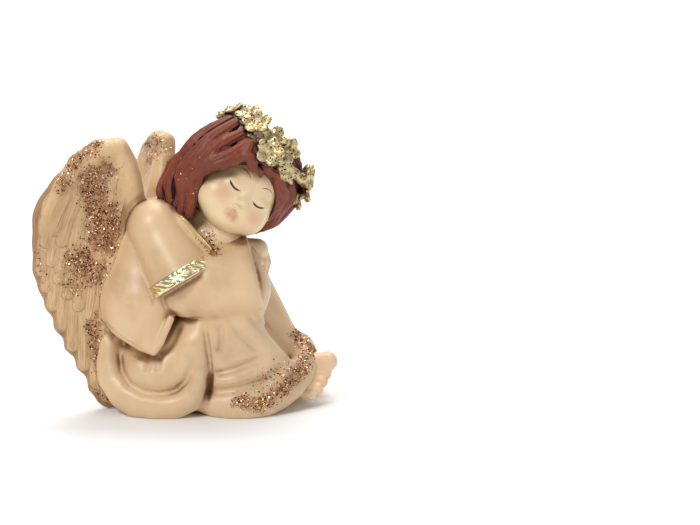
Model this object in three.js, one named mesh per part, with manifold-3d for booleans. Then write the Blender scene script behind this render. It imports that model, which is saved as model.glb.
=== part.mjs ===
// Painted resin figurine: a small winged angel sitting with the knees drawn up,
// asleep with the head on the folded arms. Cast in one piece, so it is one solid.
//
// Frame: millimetres, +Z up, seated on z = 0. The broad front faces -Y, the knees and feet point to +X.
// The form is free, so its landmarks are shares of the height: one unit is a hundredth of HEIGHT.
// The skin is the zero level of a distance function. It is made of round limbs and ellipsoids that run
// softly into one another, with folds, feathers and locks added on top, and is then sampled on a grid.

import * as THREE from 'three';
import { MarchingCubes } from 'three/addons/objects/MarchingCubes.js';
import { SimplifyModifier } from 'three/addons/modifiers/SimplifyModifier.js';
import { mergeVertices } from 'three/addons/utils/BufferGeometryUtils.js';
import Module from 'manifold-3d';

const HEIGHT = 130; // ground to the highest flower
const GRID = 128; // samples along each side of the sampling cube
const REACH = 53.5; // half side of that cube, in units
const MIDDLE = [0, 8, 49]; // its centre, in units
const FACETS = 9700; // triangles kept

const { abs, atan2, cos, exp, hypot, max, min, sin, sqrt, PI } = Math;
const DEG = PI / 180;

// Small helpers

const clamp = (t) => min(max(t, 0), 1);
const mix = (a, b, t) => a + (b - a) * t;
const ramp = (from, to, x) => {
  const t = clamp((x - from) / (to - from));
  return t * t * (3 - 2 * t);
};
const combine = (a, s, b, t) => a.map((v, i) => v * s + b[i] * t);
const shift = (a, b, t) => a.map((v, i) => v + b[i] * t);
const dot = (a, b) => a[0] * b[0] + a[1] * b[1] + a[2] * b[2];
const bothSides = (make) => [make(-1), make(1)];
const steps = (count, make) => Array.from({ length: count }, (_, i) => make(i));

// Distance functions; each carries a bounding sphere so that far shapes cost nothing

const bounded = (f, centre, radius) => Object.assign(f, { centre, radius });
const outside = (f, x, y, z) => hypot(x - f.centre[0], y - f.centre[1], z - f.centre[2]) - f.radius;

const limb = (a, b, ra, rb) => {
  const along = shift(b, a, -1);
  const length2 = dot(along, along) || 1e-9;
  const f = (x, y, z) => {
    const p = [x - a[0], y - a[1], z - a[2]];
    const t = clamp(dot(p, along) / length2);
    return hypot(p[0] - t * along[0], p[1] - t * along[1], p[2] - t * along[2]) - mix(ra, rb, t);
  };
  return bounded(f, combine(a, 0.5, b, 0.5), sqrt(length2) / 2 + max(ra, rb));
};

const ellipsoid = (centre, radii, axes) => {
  const f = (x, y, z) => {
    const p = [x - centre[0], y - centre[1], z - centre[2]];
    const q = axes.map((axis, i) => dot(p, axis) / radii[i]);
    const size = hypot(...q);
    const slope = hypot(q[0] / radii[0], q[1] / radii[1], q[2] / radii[2]);
    return slope < 1e-9 ? -min(...radii) : (size * (size - 1)) / slope;
  };
  return bounded(f, centre, max(...radii));
};

const softMin = (d, e, k) => {
  const h = max(k - abs(d - e), 0);
  return min(d, e) - (h * h) / (4 * k);
};

const join = (k, ...shapes) => {
  const f = (x, y, z) => {
    let d = 1e3;
    for (const shape of shapes) {
      if (outside(shape, x, y, z) < d + k) d = softMin(d, shape(x, y, z), k);
    }
    return d;
  };
  const centre = [0, 1, 2].map((i) => shapes.reduce((sum, s) => sum + s.centre[i], 0) / shapes.length);
  const radius = max(...shapes.map((s) => hypot(...shift(s.centre, centre, -1)) + s.radius));
  return bounded(f, centre, radius + k / 4);
};

const hollow = (k, shape, tool) => {
  const f = (x, y, z) => -softMin(-shape(x, y, z), tool(x, y, z), k);
  return bounded(f, shape.centre, shape.radius);
};

// keeps what lies behind the plane, against its normal
const trim = (k, shape, point, normal) => {
  const n = normal.map((v) => v / hypot(...normal));
  return hollow(k, shape, (x, y, z) => -dot([x - point[0], y - point[1], z - point[2]], n));
};

const mass = (k, ...stations) => {
  const pieces = stations.slice(1).map(([p, r], i) => limb(stations[i][0], p, stations[i][1], r));
  return join(k, ...pieces);
};

// a smooth roll through points; its radius goes from the first size over the middle one to the last
const roll = (points, [first, middle, last], pieces = 8) => {
  const curve = new THREE.CatmullRomCurve3(points.map((p) => new THREE.Vector3(...p)));
  const size = (t) => (t < 0.5 ? mix(first, middle, 2 * t) : mix(middle, last, 2 * t - 1));
  return mass(0.05, ...curve.getSpacedPoints(pieces).map((p, i) => [p.toArray(), size(i / pieces)]));
};

// The robe over seat, thighs and shins

const VIEW_TILT = 12 * DEG; // the folds are laid out as seen from the front at this elevation
const NEAREST = -23; // depth of the nearest point of the robe

const seat = mass(2, [[-10.3, -8, 11.2], 14], [[-10.3, 12, 6.9], 14]);
const thighs = join(4, limb([-7.1, -10, 12.3], [14.2, -12, 30.5], 12, 11),
  limb([-7.8, 12, 7.6], [16.8, 12, 32], 12, 10));
const skirt = join(5, limb([13.6, -7, 23.5], [16.8, -9, 6.4], 12.5, 13),
  limb([11.6, 8, 16.4], [18.1, 12, 1.6], 12, 13));
const shinNear = limb([14.2, -11, 28.7], [26.8, -9, 10.7], 10.5, 9.5);
const shinFar = mass(2, [[17.4, 8, 39.5], 9], [[29.4, 8, 15.4], 8.6], [[32, 10, 4.4], 9]);
const kneeNear = limb([16.2, -8, 39.6], [17.4, -8, 39.6], 10.5, 10.5);
const seatRoll = roll([[-23.9, -9, 21.6], [-23.6, -13, 10.9], [-17.1, -17, 4.5], [-6.1, -19, 3.3],
  [1.6, -19.5, 6.7], [4.5, -19, 16.2], [3.9, -18, 23.5]], [4.4, 5, 4.6], 10);
const hemRoll = roll([[5.2, -15, 4.1], [9.7, -18, 3.1], [18.1, -19.5, 2.4], [26.5, -17, 3.8],
  [33.6, -11, 7.5], [38.4, -2, 12.2], [37.5, 6, 16.1], [36.2, 20, 11.8]], [3.2, 4.7, 4.8], 12);
const skirtMass = join(3, join(5, seat, thighs, skirt), shinNear, shinFar, kneeNear, seatRoll, hemRoll);
const trunk = mass(4, [[-11, 2, 17.6], 13], [[-7.8, 1, 41], 13], [[-5.2, 1, 55.8], 12]);
const shoulders = join(4, limb([-8.7, -12, 61.6], [-1.9, 14, 57.4], 8.5, 8.5),
  limb([-11.6, 0, 57], [-10.3, 0, 57], 11, 11));
const underRobe = join(2, skirtMass, trunk, shoulders);

// drapery strokes on the front: [depth, half width, then points across and up as seen]
const strokes = [
  [1.7, 1.2, [-21.6, 25.7], [-20.7, 17.3], [-16.8, 11.1], [-10.3, 8.6], [-3.9, 8.9], [1, 12.1],
    [4.2, 21.8]],
  [1.4, 0.8, [6.5, 32.8], [7.8, 24.1], [8.4, 15.3], [7.1, 5.7]],
  [1.2, 0.7, [12, 31.2], [12.3, 25.7], [11, 20.5]],
  [1.2, 0.9, [8.7, 14.4], [16.5, 16.3], [25.8, 20.5]],
  [1.6, 1.1, [8.4, 8.9], [18.1, 10.2], [27.1, 13.4], [33.6, 19.2]],
  [1.6, 1.1, [-23.3, 26.3], [-16.5, 22.4], [-8.4, 20.5]],
  [0.8, 0.6, [-10.3, 21.2], [-12, 14.7]],
  [0.8, 0.6, [-7.8, 21.2], [-8.4, 15.3]],
  [0.8, 0.8, [-0.6, 31.5], [-3.9, 24.1], [-7.8, 21.2]],
  [1.6, 0.9, [21.3, 34.7], [27.1, 28.3], [33.9, 21.2]],
  [1.2, 0.8, [25.2, 34.7], [31, 27.6], [35.2, 22.8]],
  [0.8, 0.8, [15.5, 31.5], [20, 25.7], [25.2, 21.8]],
  [-0.9, 1.4, [9, 11.5], [18.1, 13.1], [27.1, 16.6]],
  [-0.8, 1.6, [-17.4, 20.5], [-11, 15], [-3.2, 17.3]],
].map(([depth, width, ...marks]) => {
  const curve = new THREE.CatmullRomCurve3(marks.map(([across, up]) => new THREE.Vector3(across, up)));
  return { depth, width, marks: curve.getSpacedPoints(9) };
});

const frontFolds = (x, y, z) => {
  const up = z * cos(VIEW_TILT) + (y - NEAREST) * sin(VIEW_TILT);
  let sum = 0;
  for (const { depth, width, marks } of strokes) {
    let nearest = 1e9;
    let where = 0;
    for (let i = 1; i < marks.length; i += 1) {
      const [a, b] = [marks[i - 1], marks[i]];
      const along = [b.x - a.x, b.y - a.y];
      const t = clamp(((x - a.x) * along[0] + (up - a.y) * along[1]) / (along[0] ** 2 + along[1] ** 2));
      const gap = hypot(x - a.x - t * along[0], up - a.y - t * along[1]);
      if (gap < nearest) {
        nearest = gap;
        where = (i - 1 + t) / (marks.length - 1);
      }
    }
    const taper = min(1, 5 * min(where, 1 - where) + 0.15);
    sum += depth * taper * exp(-((nearest / width) ** 2));
  }
  return sum * ramp(2, -3, y);
};

const BACK_FOLDS = 9; // soft vertical folds in a full turn, shown round the back only
const backFolds = (x, y, z) => {
  const turn = atan2(y - 5, x + 9);
  const ridge = 1 - abs(sin((turn * BACK_FOLDS) / 2 + 0.5 * sin(z * 0.12)));
  return -0.9 * ridge * ramp(-0.1, 0.5, sin(turn)) * ramp(44, 24, z);
};

// the over-tunic hangs to the seat and ends in a point beside the knee
const tunicMass = join(4,
  mass(4, [[-11, -5, 52.1], 11], [[-14.9, -9, 36.5], 11.5], [[-13.6, -11, 25.4], 12]),
  limb([-11.6, -13, 37.3], [-9, -15, 23.9], 8.5, 8.5),
  mass(4, [[-7.8, 6, 54.8], 12], [[-14.2, 12, 18.8], 14]));
const tunicEdge = roll([[-22.5, -2, 30.5], [-23.9, -12, 28.6], [-17.4, -19.5, 25.5], [-9, -23, 22.6],
  [-6.8, -23.5, 27], [-3.9, -22, 33.3]], [1.2, 1.3, 1.2], 10);
const tunicHem = trim(1, tunicMass, [-18.1, -20, 26.3], [-0.42, 0.05, -0.9]);
const tunic = join(1, trim(0.8, tunicHem, [-6.1, -22, 27.4], [0.9, -0.1, -0.43]), tunicEdge);

const robe = bounded((x, y, z) => {
  const d = underRobe(x, y, z);
  const folded = abs(d) < 6 ? d + frontFolds(x, y, z) + backFolds(x, y, z) : d;
  return softMin(folded, tunic(x, y, z), 0.8);
}, underRobe.centre, underRobe.radius + 8);

// Arms and hand

const cuff = [0.6, -19, 44.6];
const cuffNormal = [0.5, -0.2, -0.84];
const upperSleeve = trim(0.6, limb([-9.4, -12, 60.9], [1.9, -19.5, 42.7], 8.5, 11), cuff, cuffNormal);
const cuffBand = trim(0.5,
  trim(0.5, limb([-9.4, -12, 60.9], [1.9, -19.5, 42.7], 9.2, 11.8), cuff, cuffNormal),
  shift(cuff, cuffNormal, -3.2), cuffNormal.map((v) => -v));
const foreSleeve = trim(1.2, join(3,
  mass(3, [[0.6, -17, 40.2], 7.5], [[9, -17, 43.5], 10.5], [[17.8, -15, 44.4], 12]),
  limb([7.8, -11, 49.5], [18.1, -8, 51.5], 7, 7.4)), [23.3, -15, 46], [1, 0.1, 0.22]);
const sleeveTurn = roll([[19.1, -9, 54.3], [22.6, -13, 51.2], [25.2, -15, 43.7], [24.5, -16, 37],
  [22, -17, 33.6]], [1.3, 1.6, 1.4], 8);
const elbow = limb([-4.5, -17, 36.2], [0.3, -18, 38.4], 2.4, 6);
const farArm = mass(3, [[-0.6, 13, 56.2], 8.5], [[12.3, 18, 35.7], 9], [[20, 8, 45.4], 7.5]);
const finger = (knuckle, middle, tip, size) => mass(0.4,
  [knuckle, size + 0.2], [middle, size], [tip, size - 0.3]);
const hand = join(1, limb([19.4, -3, 52.7], [23.3, -2, 51.8], 3.2, 3.6),
  finger([22.6, -4, 51.6], [23.6, -6, 48.4], [23.3, -7, 45], 1.7),
  finger([24.2, -1, 51.3], [25.2, -3, 47.8], [24.7, -4, 44], 1.7),
  finger([24.9, 2, 50.7], [26.2, 0, 47.1], [25.7, -1, 43.7], 1.6));
const neck = join(2, limb([1.9, 0, 52.7], [9, -2, 63.1], 8, 7.5),
  limb([3.9, -8, 54.1], [12.3, -8, 57.4], 6, 7));
const collar = roll([[-4.5, -12, 66.2], [0, -16, 63.7], [4.5, -17, 58.7], [9.7, -16, 52.5]],
  [1.5, 1.5, 1.5]);

// Bare feet

const nearFoot = join(1.4, limb([32.3, -2, 7.3], [37.5, -2, 8.6], 6.6, 5.8),
  mass(1, [[37.5, 1, 11.9], 4], [[42.6, 0, 13.4], 3], [[46.2, 0, 13.6], 3.3]),
  join(0.4,
    limb([38.1, -1, 9.7], [45.2, -2, 9.9], 3, 2.3),
    limb([38.1, -3, 8.1], [44.3, -4, 7.8], 3, 2.1),
    limb([37.5, -5, 6.9], [43, -6, 6], 2.8, 2),
    limb([36.5, -6, 5.5], [40.7, -7, 4.2], 2.6, 1.9)));
const farFoot = join(1.4, limb([32.9, 14, 5.2], [38.8, 14, 6.5], 6, 5),
  limb([38.8, 10, 8.7], [43.6, 9, 9.5], 3, 2.6),
  join(0.4, limb([38.8, 14, 7.2], [43, 14, 7.2], 3, 2.1), limb([37.5, 18, 5.3], [41.3, 18, 4.7], 2.8, 2)));

// Head: a frame of right, up and face directions, tipped over to rest on the arms

const HEAD = [17.6, -6, 73.3];
const HEAD_TIP = 40 * DEG;
const HEAD_TURN = 18 * DEG;
const upright = [0, sin(VIEW_TILT), cos(VIEW_TILT)];
const toFront = [0, -cos(VIEW_TILT), sin(VIEW_TILT)];
const sideways = combine([1, 0, 0], cos(HEAD_TIP), upright, -sin(HEAD_TIP));
const headUp = combine([1, 0, 0], sin(HEAD_TIP), upright, cos(HEAD_TIP));
const headFace = combine(toFront, cos(HEAD_TURN), sideways, sin(HEAD_TURN));
const headRight = combine(sideways, cos(HEAD_TURN), toFront, -sin(HEAD_TURN));
const HEAD_AXES = [headRight, headUp, headFace];
const onHead = (right, up, face) => shift(shift(shift(HEAD, headRight, right), headUp, up), headFace, face);

const skull = ellipsoid(onHead(0, 0.5, 0), [12.8, 15.5, 15], HEAD_AXES);
const cheeks = bothSides((s) => ellipsoid(onHead(s * 5.8, -5.6, 6.8), [6.9, 6.6, 7], HEAD_AXES));
const chin = ellipsoid(onHead(0, -9.6, 8), [5.6, 4.2, 5.8], HEAD_AXES);
const eyelids = bothSides((s) => ellipsoid(onHead(s * 5, 0.3, 11.5), [3.2, 2.2, 2.5], HEAD_AXES));
const nostrils = bothSides((s) => limb(onHead(s * 1.1, -3.5, 14.8), onHead(s * 1.3, -3.5, 14.6), 0.9, 0.8));
const nose = join(1, limb(onHead(0, 1.4, 14), onHead(0, -3, 15.6), 0.9, 1.3), ...nostrils);
const lips = join(0.5,
  ...bothSides((s) => limb(onHead(s * 0.4, -7.7, 14.6), onHead(s * 2.2, -8.2, 13.6), 0.75, 0.35)),
  limb(onHead(-0.9, -9, 14.3), onHead(0.9, -9, 14.3), 0.8, 0.8));
const face = join(1.2, join(3.5, skull, ...cheeks, chin), ...eyelids, nose, lips);

// Hair: a close cap opened for the face, with locks swept from the crown to the shoulders

const CAP = [0, 3, -2.5];
const CAP_RADII = [16.8, 18, 17.2];
const faceOpening = (x, y, z) => {
  const p = [x - HEAD[0], y - HEAD[1], z - HEAD[2]];
  const oval = hypot(dot(p, headRight) / 12.6, (dot(p, headUp) + 5) / 13.5) - 1;
  return max(oval * 12, 3 - dot(p, headFace));
};
const sideMass = join(3,
  mass(3, [[7.1, -5, 81.9], 7], [[0.6, -7, 75.7], 6.5], [[-1.3, -9, 68.5], 4.5]),
  mass(3, [[31, 0, 79.2], 6], [[30.7, 2, 68.8], 4.5], [[28.1, 1, 61.8], 3.2]));
const LOCK_WAVE = 0.7; // sideways swing of a lock
const lock = (phase, sizes, ...points) => {
  const curve = new THREE.CatmullRomCurve3(points.map((p) => new THREE.Vector3(...p)));
  const swung = curve.getSpacedPoints(12).map((p, i) => {
    const swing = LOCK_WAVE * sin(i * 1.25 + phase) * min(1, i / 4);
    return shift(p.toArray(), [0.87, 0, 0.5], swing);
  });
  return roll(swung, sizes, 12);
};
const leftLocks = join(0.6,
  lock(0, [2, 3.1, 1.6], [14.9, -10, 95.5], [7.4, -13, 91.5], [2.3, -13, 86.2], [-1.9, -12, 80.1],
    [-4.2, -12, 74.8], [-4.8, -12, 68.8]),
  lock(1, [2, 3, 1.4], [16.8, -14, 95], [10, -17, 91], [4.8, -17.5, 85.8], [1, -17, 80.5], [0, -16, 74.3],
    [-1, -14, 66.6]),
  lock(2, [2, 2.9, 1.5], [19.1, -17, 92.3], [12.9, -19.5, 89.6], [7.4, -19.5, 84.9], [3.6, -18, 79.3],
    [2.9, -16, 72.6], [1.9, -14, 65]),
  lock(3, [2, 2.7, 1.2], [21.3, -19, 89.8], [16.8, -21, 86.9], [10.7, -21, 84.3], [6.1, -19, 80.9],
    [4.5, -17, 75.8], [4.8, -14, 69.6]),
  lock(4, [1.6, 2.2, 1.4], [21.3, -20, 89], [18.1, -21.6, 85.4], [13.6, -22, 84.2], [8.4, -21, 82.3],
    [5.2, -18.5, 78.8]),
  lock(5, [1.8, 2.8, 1.4], [5.5, -6, 88.7], [-0.3, -8, 83.2], [-4.5, -8, 78.2], [-6.5, -9, 73.5],
    [-7.1, -10, 68.7]),
  lock(6, [1.6, 2.6, 1.2], [7.1, 0, 88.7], [1, -1, 83.7], [-2.3, -2, 79.6], [-4.8, -3, 74.8],
    [-5.8, -5, 68.7]));
const rightLocks = join(0.6,
  lock(1, [1.6, 2.2, 0.8], [22, -20, 89.7], [21.3, -21.5, 86], [23.6, -21.5, 82.7], [25.2, -20.5, 79.5]),
  lock(2, [1.6, 2.2, 1], [23.3, -19.5, 89.6], [25.2, -20, 85.1], [28.1, -18.6, 81.5], [30.7, -16, 76.3]),
  lock(3, [1.6, 2.5, 1.4], [25.2, -18, 87.9], [29.1, -17, 83.8], [31.3, -15, 78], [32, -12, 72.1],
    [30, -10, 65.8]),
  lock(4, [1.6, 2.7, 1.4], [29.7, -13, 87.5], [33.3, -12, 82], [34.2, -9, 75.1], [32.9, -7, 68.1],
    [29.1, -6, 62.3]),
  lock(5, [1.6, 2.7, 1.4], [32.3, -7, 87.2], [35.5, -5, 81.2], [35.9, -3, 73.8], [33.3, -2, 66.4],
    [29.7, -1, 61.2], [25.2, -1, 58.6]),
  lock(6, [1.6, 2.7, 1.4], [32.9, 0, 86.7], [35.5, 2, 81], [35.5, 3, 74.2], [32.9, 4, 67.1],
    [28.4, 4, 60.8]),
  lock(7, [1.6, 2.3, 1.5], [32.3, -8, 68.3], [29.7, -8, 64.7], [25.8, -7, 60.8], [22.6, -6, 59]));

const BACK_LOCKS = 11;
const backLocks = join(0.6, ...steps(BACK_LOCKS, (i) => {
  const around = (112 + i * 15) * DEG;
  const points = [20, 45, 70, 92, 110, 124].map((down, j) => {
    const turn = around + 0.09 * sin(j * 2.1 + i);
    const out = sin(down * DEG) * 0.955;
    return onHead(CAP[0] + CAP_RADII[0] * out * sin(turn), CAP[1] + 17.4 * cos(down * DEG),
      CAP[2] + CAP_RADII[2] * out * cos(turn));
  });
  return roll(points, [1.6, 3, 1.4 + (i % 3) * 0.3], 10);
}));
const cap = join(2, ellipsoid(onHead(...CAP), CAP_RADII, HEAD_AXES), sideMass);
const hair = join(0.7, hollow(1, cap, faceOpening), leftLocks, rightLocks, backLocks);

// Garland: a twig ring round the head with flowers and leaves; angles run from the face to its right

const PETALS = 5;
const flower = (angle, up, size, out = 17, nod = 0.5) => {
  const a = angle * DEG;
  const outward = combine(headFace, cos(a), headRight, sin(a));
  const axis = combine(outward, cos(nod), headUp, sin(nod));
  const rise = combine(headUp, cos(nod), outward, -sin(nod));
  const across = combine(headRight, cos(a), headFace, -sin(a));
  const centre = shift(shift(HEAD, headUp, up), outward, out);
  const petals = steps(PETALS, (k) => {
    const b = (k / PETALS) * 2 * PI + a;
    const ray = combine(rise, cos(b), across, sin(b));
    const lifted = [combine(ray, 0.88, axis, 0.47), combine(rise, -sin(b), across, cos(b)),
      combine(axis, 0.88, ray, -0.47)];
    const middle = shift(shift(centre, ray, size * 0.56), axis, 0.7);
    return ellipsoid(middle, [size * 0.5, size * 0.42, 0.9], lifted);
  });
  return join(0.5, ellipsoid(centre, [size * 0.3, size * 0.3, 1.3], [rise, across, axis]), ...petals);
};
const onRing = (angle, radius, up) => {
  const [across, ahead] = [sin(angle * DEG), cos(angle * DEG)];
  return onHead(across * radius, up, ahead * radius * 0.963);
};
const leaf = (a, b, width) => mass(0.5, [a, 0.8], [combine(a, 0.5, b, 0.5), width], [b, 0.6]);
const twig = mass(1, ...steps(25, (i) => [onRing(i * 15, 15.8, 14.8), 1.5]));
const garland = join(0.6, twig,
  flower(-96, 17, 4.6), flower(-70, 19.5, 4.2, 15), flower(-48, 19, 5, 15.5), flower(-18, 18.3, 5, 15),
  flower(4, 18.8, 4.4, 13), flower(-14, 14.8, 4.8, 17.5, 0.2), flower(56, 16.5, 4, 15.5),
  flower(76, 13.4, 4.8, 17), flower(80, 9, 3.8, 17),
  ...steps(6, (i) => flower(108 + i * 28.5, 16.5 - (i % 2), 4.2)),
  leaf(onHead(2, 13.2, 15.8), onHead(9, 11.8, 13.2), 1.8),
  leaf(onHead(15, 10, 5), onHead(15.5, 5.5, 4), 1.6),
  ...steps(9, (i) => leaf(onRing(95 + i * 25, 16, 14.5), onRing(109 + i * 25, 16.6, 12.4), 1.4)));

// Wings: a thick rolled arm along the leading edge and three rows of feathers under it

const TRUNK_TURN = 24 * DEG; // the chest is turned this far from +X towards the front
const WING_SPREAD = 45 * DEG; // each wing leaves the back at this angle
const chest = [cos(TRUNK_TURN), -sin(TRUNK_TURN)];
const flank = [sin(TRUNK_TURN), cos(TRUNK_TURN)];
// a feather row: count, quills from and to, tip line, root and tip radius, lift above the row below
const FEATHER_ROWS = [
  { count: 11, from: [32, 66], to: [8, 50], radii: [3.4, 2.6], lift: 0,
    tips: [[34.3, 49], [31.6, 39.5], [26.8, 27.5], [20.4, 16], [13.6, 5], [10.5, 4], [6, 8]] },
  { count: 8, from: [31, 70], to: [6, 66], radii: [3.6, 2.4], lift: 0.75,
    tips: [[33, 58], [29.5, 47], [24, 38], [17, 32], [9, 30]] },
  { count: 7, from: [28, 76], to: [6, 76], radii: [3.4, 2.6], lift: 1.5,
    tips: [[32, 66], [27.5, 58], [20, 51], [11, 48]] },
];
// the arm: out from the back, up, and radius
const WING_ARM = [[0.5, 60, 4], [3.5, 72, 3.6], [6.5, 82, 3.6], [9.5, 87, 3.8], [15.5, 86.8, 3.8],
  [22.5, 83, 3.5], [27, 76.5, 3.2], [30.8, 70, 2.8], [32.8, 62, 2.2]];

const feathers = FEATHER_ROWS.flatMap(({ count, from, to, radii, lift, tips }) => {
  const tipLine = new THREE.CatmullRomCurve3(tips.map(([out, up]) => new THREE.Vector3(out, up)));
  return steps(count, (i) => {
    const t = i / (count - 1);
    const quill = combine(from, 1 - t, to, t);
    const tip = tipLine.getPoint(t);
    return { quill, along: [tip.x - quill[0], tip.y - quill[1]], radii, lift };
  });
});

// flat distance to a tapered stroke from a quill, and the place along it
const onStroke = (out, up, [a, b], along) => {
  const t = clamp(((out - a) * along[0] + (up - b) * along[1]) / (along[0] ** 2 + along[1] ** 2));
  return [hypot(out - a - t * along[0], up - b - t * along[1]), t];
};

const wing = (side, root, scale) => {
  const span = combine(chest, -cos(WING_SPREAD), flank, side * sin(WING_SPREAD));
  const front = combine(chest, sin(WING_SPREAD), flank, side * cos(WING_SPREAD));
  const f = (x, y, z) => {
    const out = (x - root[0]) * span[0] + (y - root[1]) * span[1];
    const up = z / scale;
    // the wing leans forward above the shoulder and its outer edge curls forward
    const bend = 6.5 * ramp(62, 90, up) + 2.2 * ramp(18, 38, out) - 1.5;
    const off = (x - root[0]) * front[0] + (y - root[1]) * front[1] - bend;
    let edge = (hypot((out - 14.5) / 14, (up - 62) / 24) - 1) * 14;
    let relief = 0;
    for (const { quill, along, radii, lift } of feathers) {
      const [gap, t] = onStroke(out, up, quill, along);
      const radius = mix(...radii, t);
      edge = min(edge, gap - radius);
      if (gap < radius) {
        relief = max(relief, (lift + 0.8 * sqrt(1 - (gap / radius) ** 2)) * ramp(-0.02, 0.25, t));
      }
    }
    let arm = 1e3;
    for (let i = 1; i < WING_ARM.length; i += 1) {
      const [a, b] = [WING_ARM[i - 1], WING_ARM[i]];
      const [gap, t] = onStroke(out, up, a, [b[0] - a[0], b[1] - a[1]]);
      arm = min(arm, hypot(gap, off) - mix(a[2], b[2], t));
    }
    const sheet = -softMin(-edge, 1.3 + 0.55 * relief - abs(off), 1);
    return softMin(arm, sheet, 1.6);
  };
  const centre = [root[0] + span[0] * 16, root[1] + span[1] * 16, 46];
  return bounded(f, centre, 54);
};
const nearWing = wing(-1, [-13.6, -6, 55.7], 1);
const farWing = wing(1, [-8.9, 6, 53.1], 0.962);

// The whole figure

const dressed = join(1.2, robe, farArm, join(0.8, upperSleeve, collar));
const figure = join(0.8, join(2.5, dressed, nearWing, farWing), cuffBand, join(0.8, foreSleeve, sleeveTurn),
  elbow, hand, neck, nearFoot, farFoot, face, hair, garland);
const BELOW_GROUND = -2; // the sampled skin closes a little under the ground and is cut there
const skin = (x, y, z) => max(figure(x, y, z), BELOW_GROUND - z);

// Sampling: coarse blocks first, then every sample of the blocks that the skin can cross

const BLOCK = 4;
const CLEAR = 0.03; // no sample lies closer to the skin than this, so no two crossings meet
const sampled = () => {
  const cubes = new MarchingCubes(GRID, new THREE.MeshBasicMaterial(), false, false, 400000);
  const place = (i, axis) => MIDDLE[axis] + ((2 * i) / GRID - 1) * REACH;
  const far = ((2 * REACH) / GRID) * BLOCK * 1.6;
  cubes.isolation = 0;
  for (let k = 0; k < GRID; k += BLOCK) {
    for (let j = 0; j < GRID; j += BLOCK) {
      for (let i = 0; i < GRID; i += BLOCK) {
        const block = skin(place(i + BLOCK / 2, 0), place(j + BLOCK / 2, 1), place(k + BLOCK / 2, 2));
        for (let n = 0; n < BLOCK ** 3; n += 1) {
          const [a, b, c] = [i + (n % BLOCK), j + ((n >> 2) % BLOCK), k + (n >> 4)];
          const d = abs(block) > far ? block : skin(place(a, 0), place(b, 1), place(c, 2));
          cubes.field[a + b * GRID + c * GRID ** 2] = d > 0 ? min(-d, -CLEAR) : max(-d, CLEAR);
        }
      }
    }
  }
  cubes.update();
  const geometry = new THREE.BufferGeometry();
  const places = cubes.positionArray.slice(0, cubes.count * 3);
  geometry.setAttribute('position', new THREE.BufferAttribute(places, 3));
  geometry.scale(REACH, REACH, REACH);
  geometry.translate(...MIDDLE);
  return mergeVertices(geometry, 1e-4);
};

const wasm = await Module();
wasm.setup();
const solidOf = (geometry) => new wasm.Manifold(new wasm.Mesh({
  numProp: 3,
  vertProperties: geometry.attributes.position.array,
  triVerts: new Uint32Array(geometry.index.array),
}));

// Thinning can leave two facets back to back on the same three corners. They enclose nothing, so both go.
const withoutFlaps = (index) => {
  const facets = new Map();
  for (let i = 0; i < index.length; i += 3) {
    const corners = [index[i], index[i + 1], index[i + 2]];
    const key = [...corners].sort((a, b) => a - b).join();
    if (!facets.delete(key)) facets.set(key, corners);
  }
  return [...facets.values()].flat();
};

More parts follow.
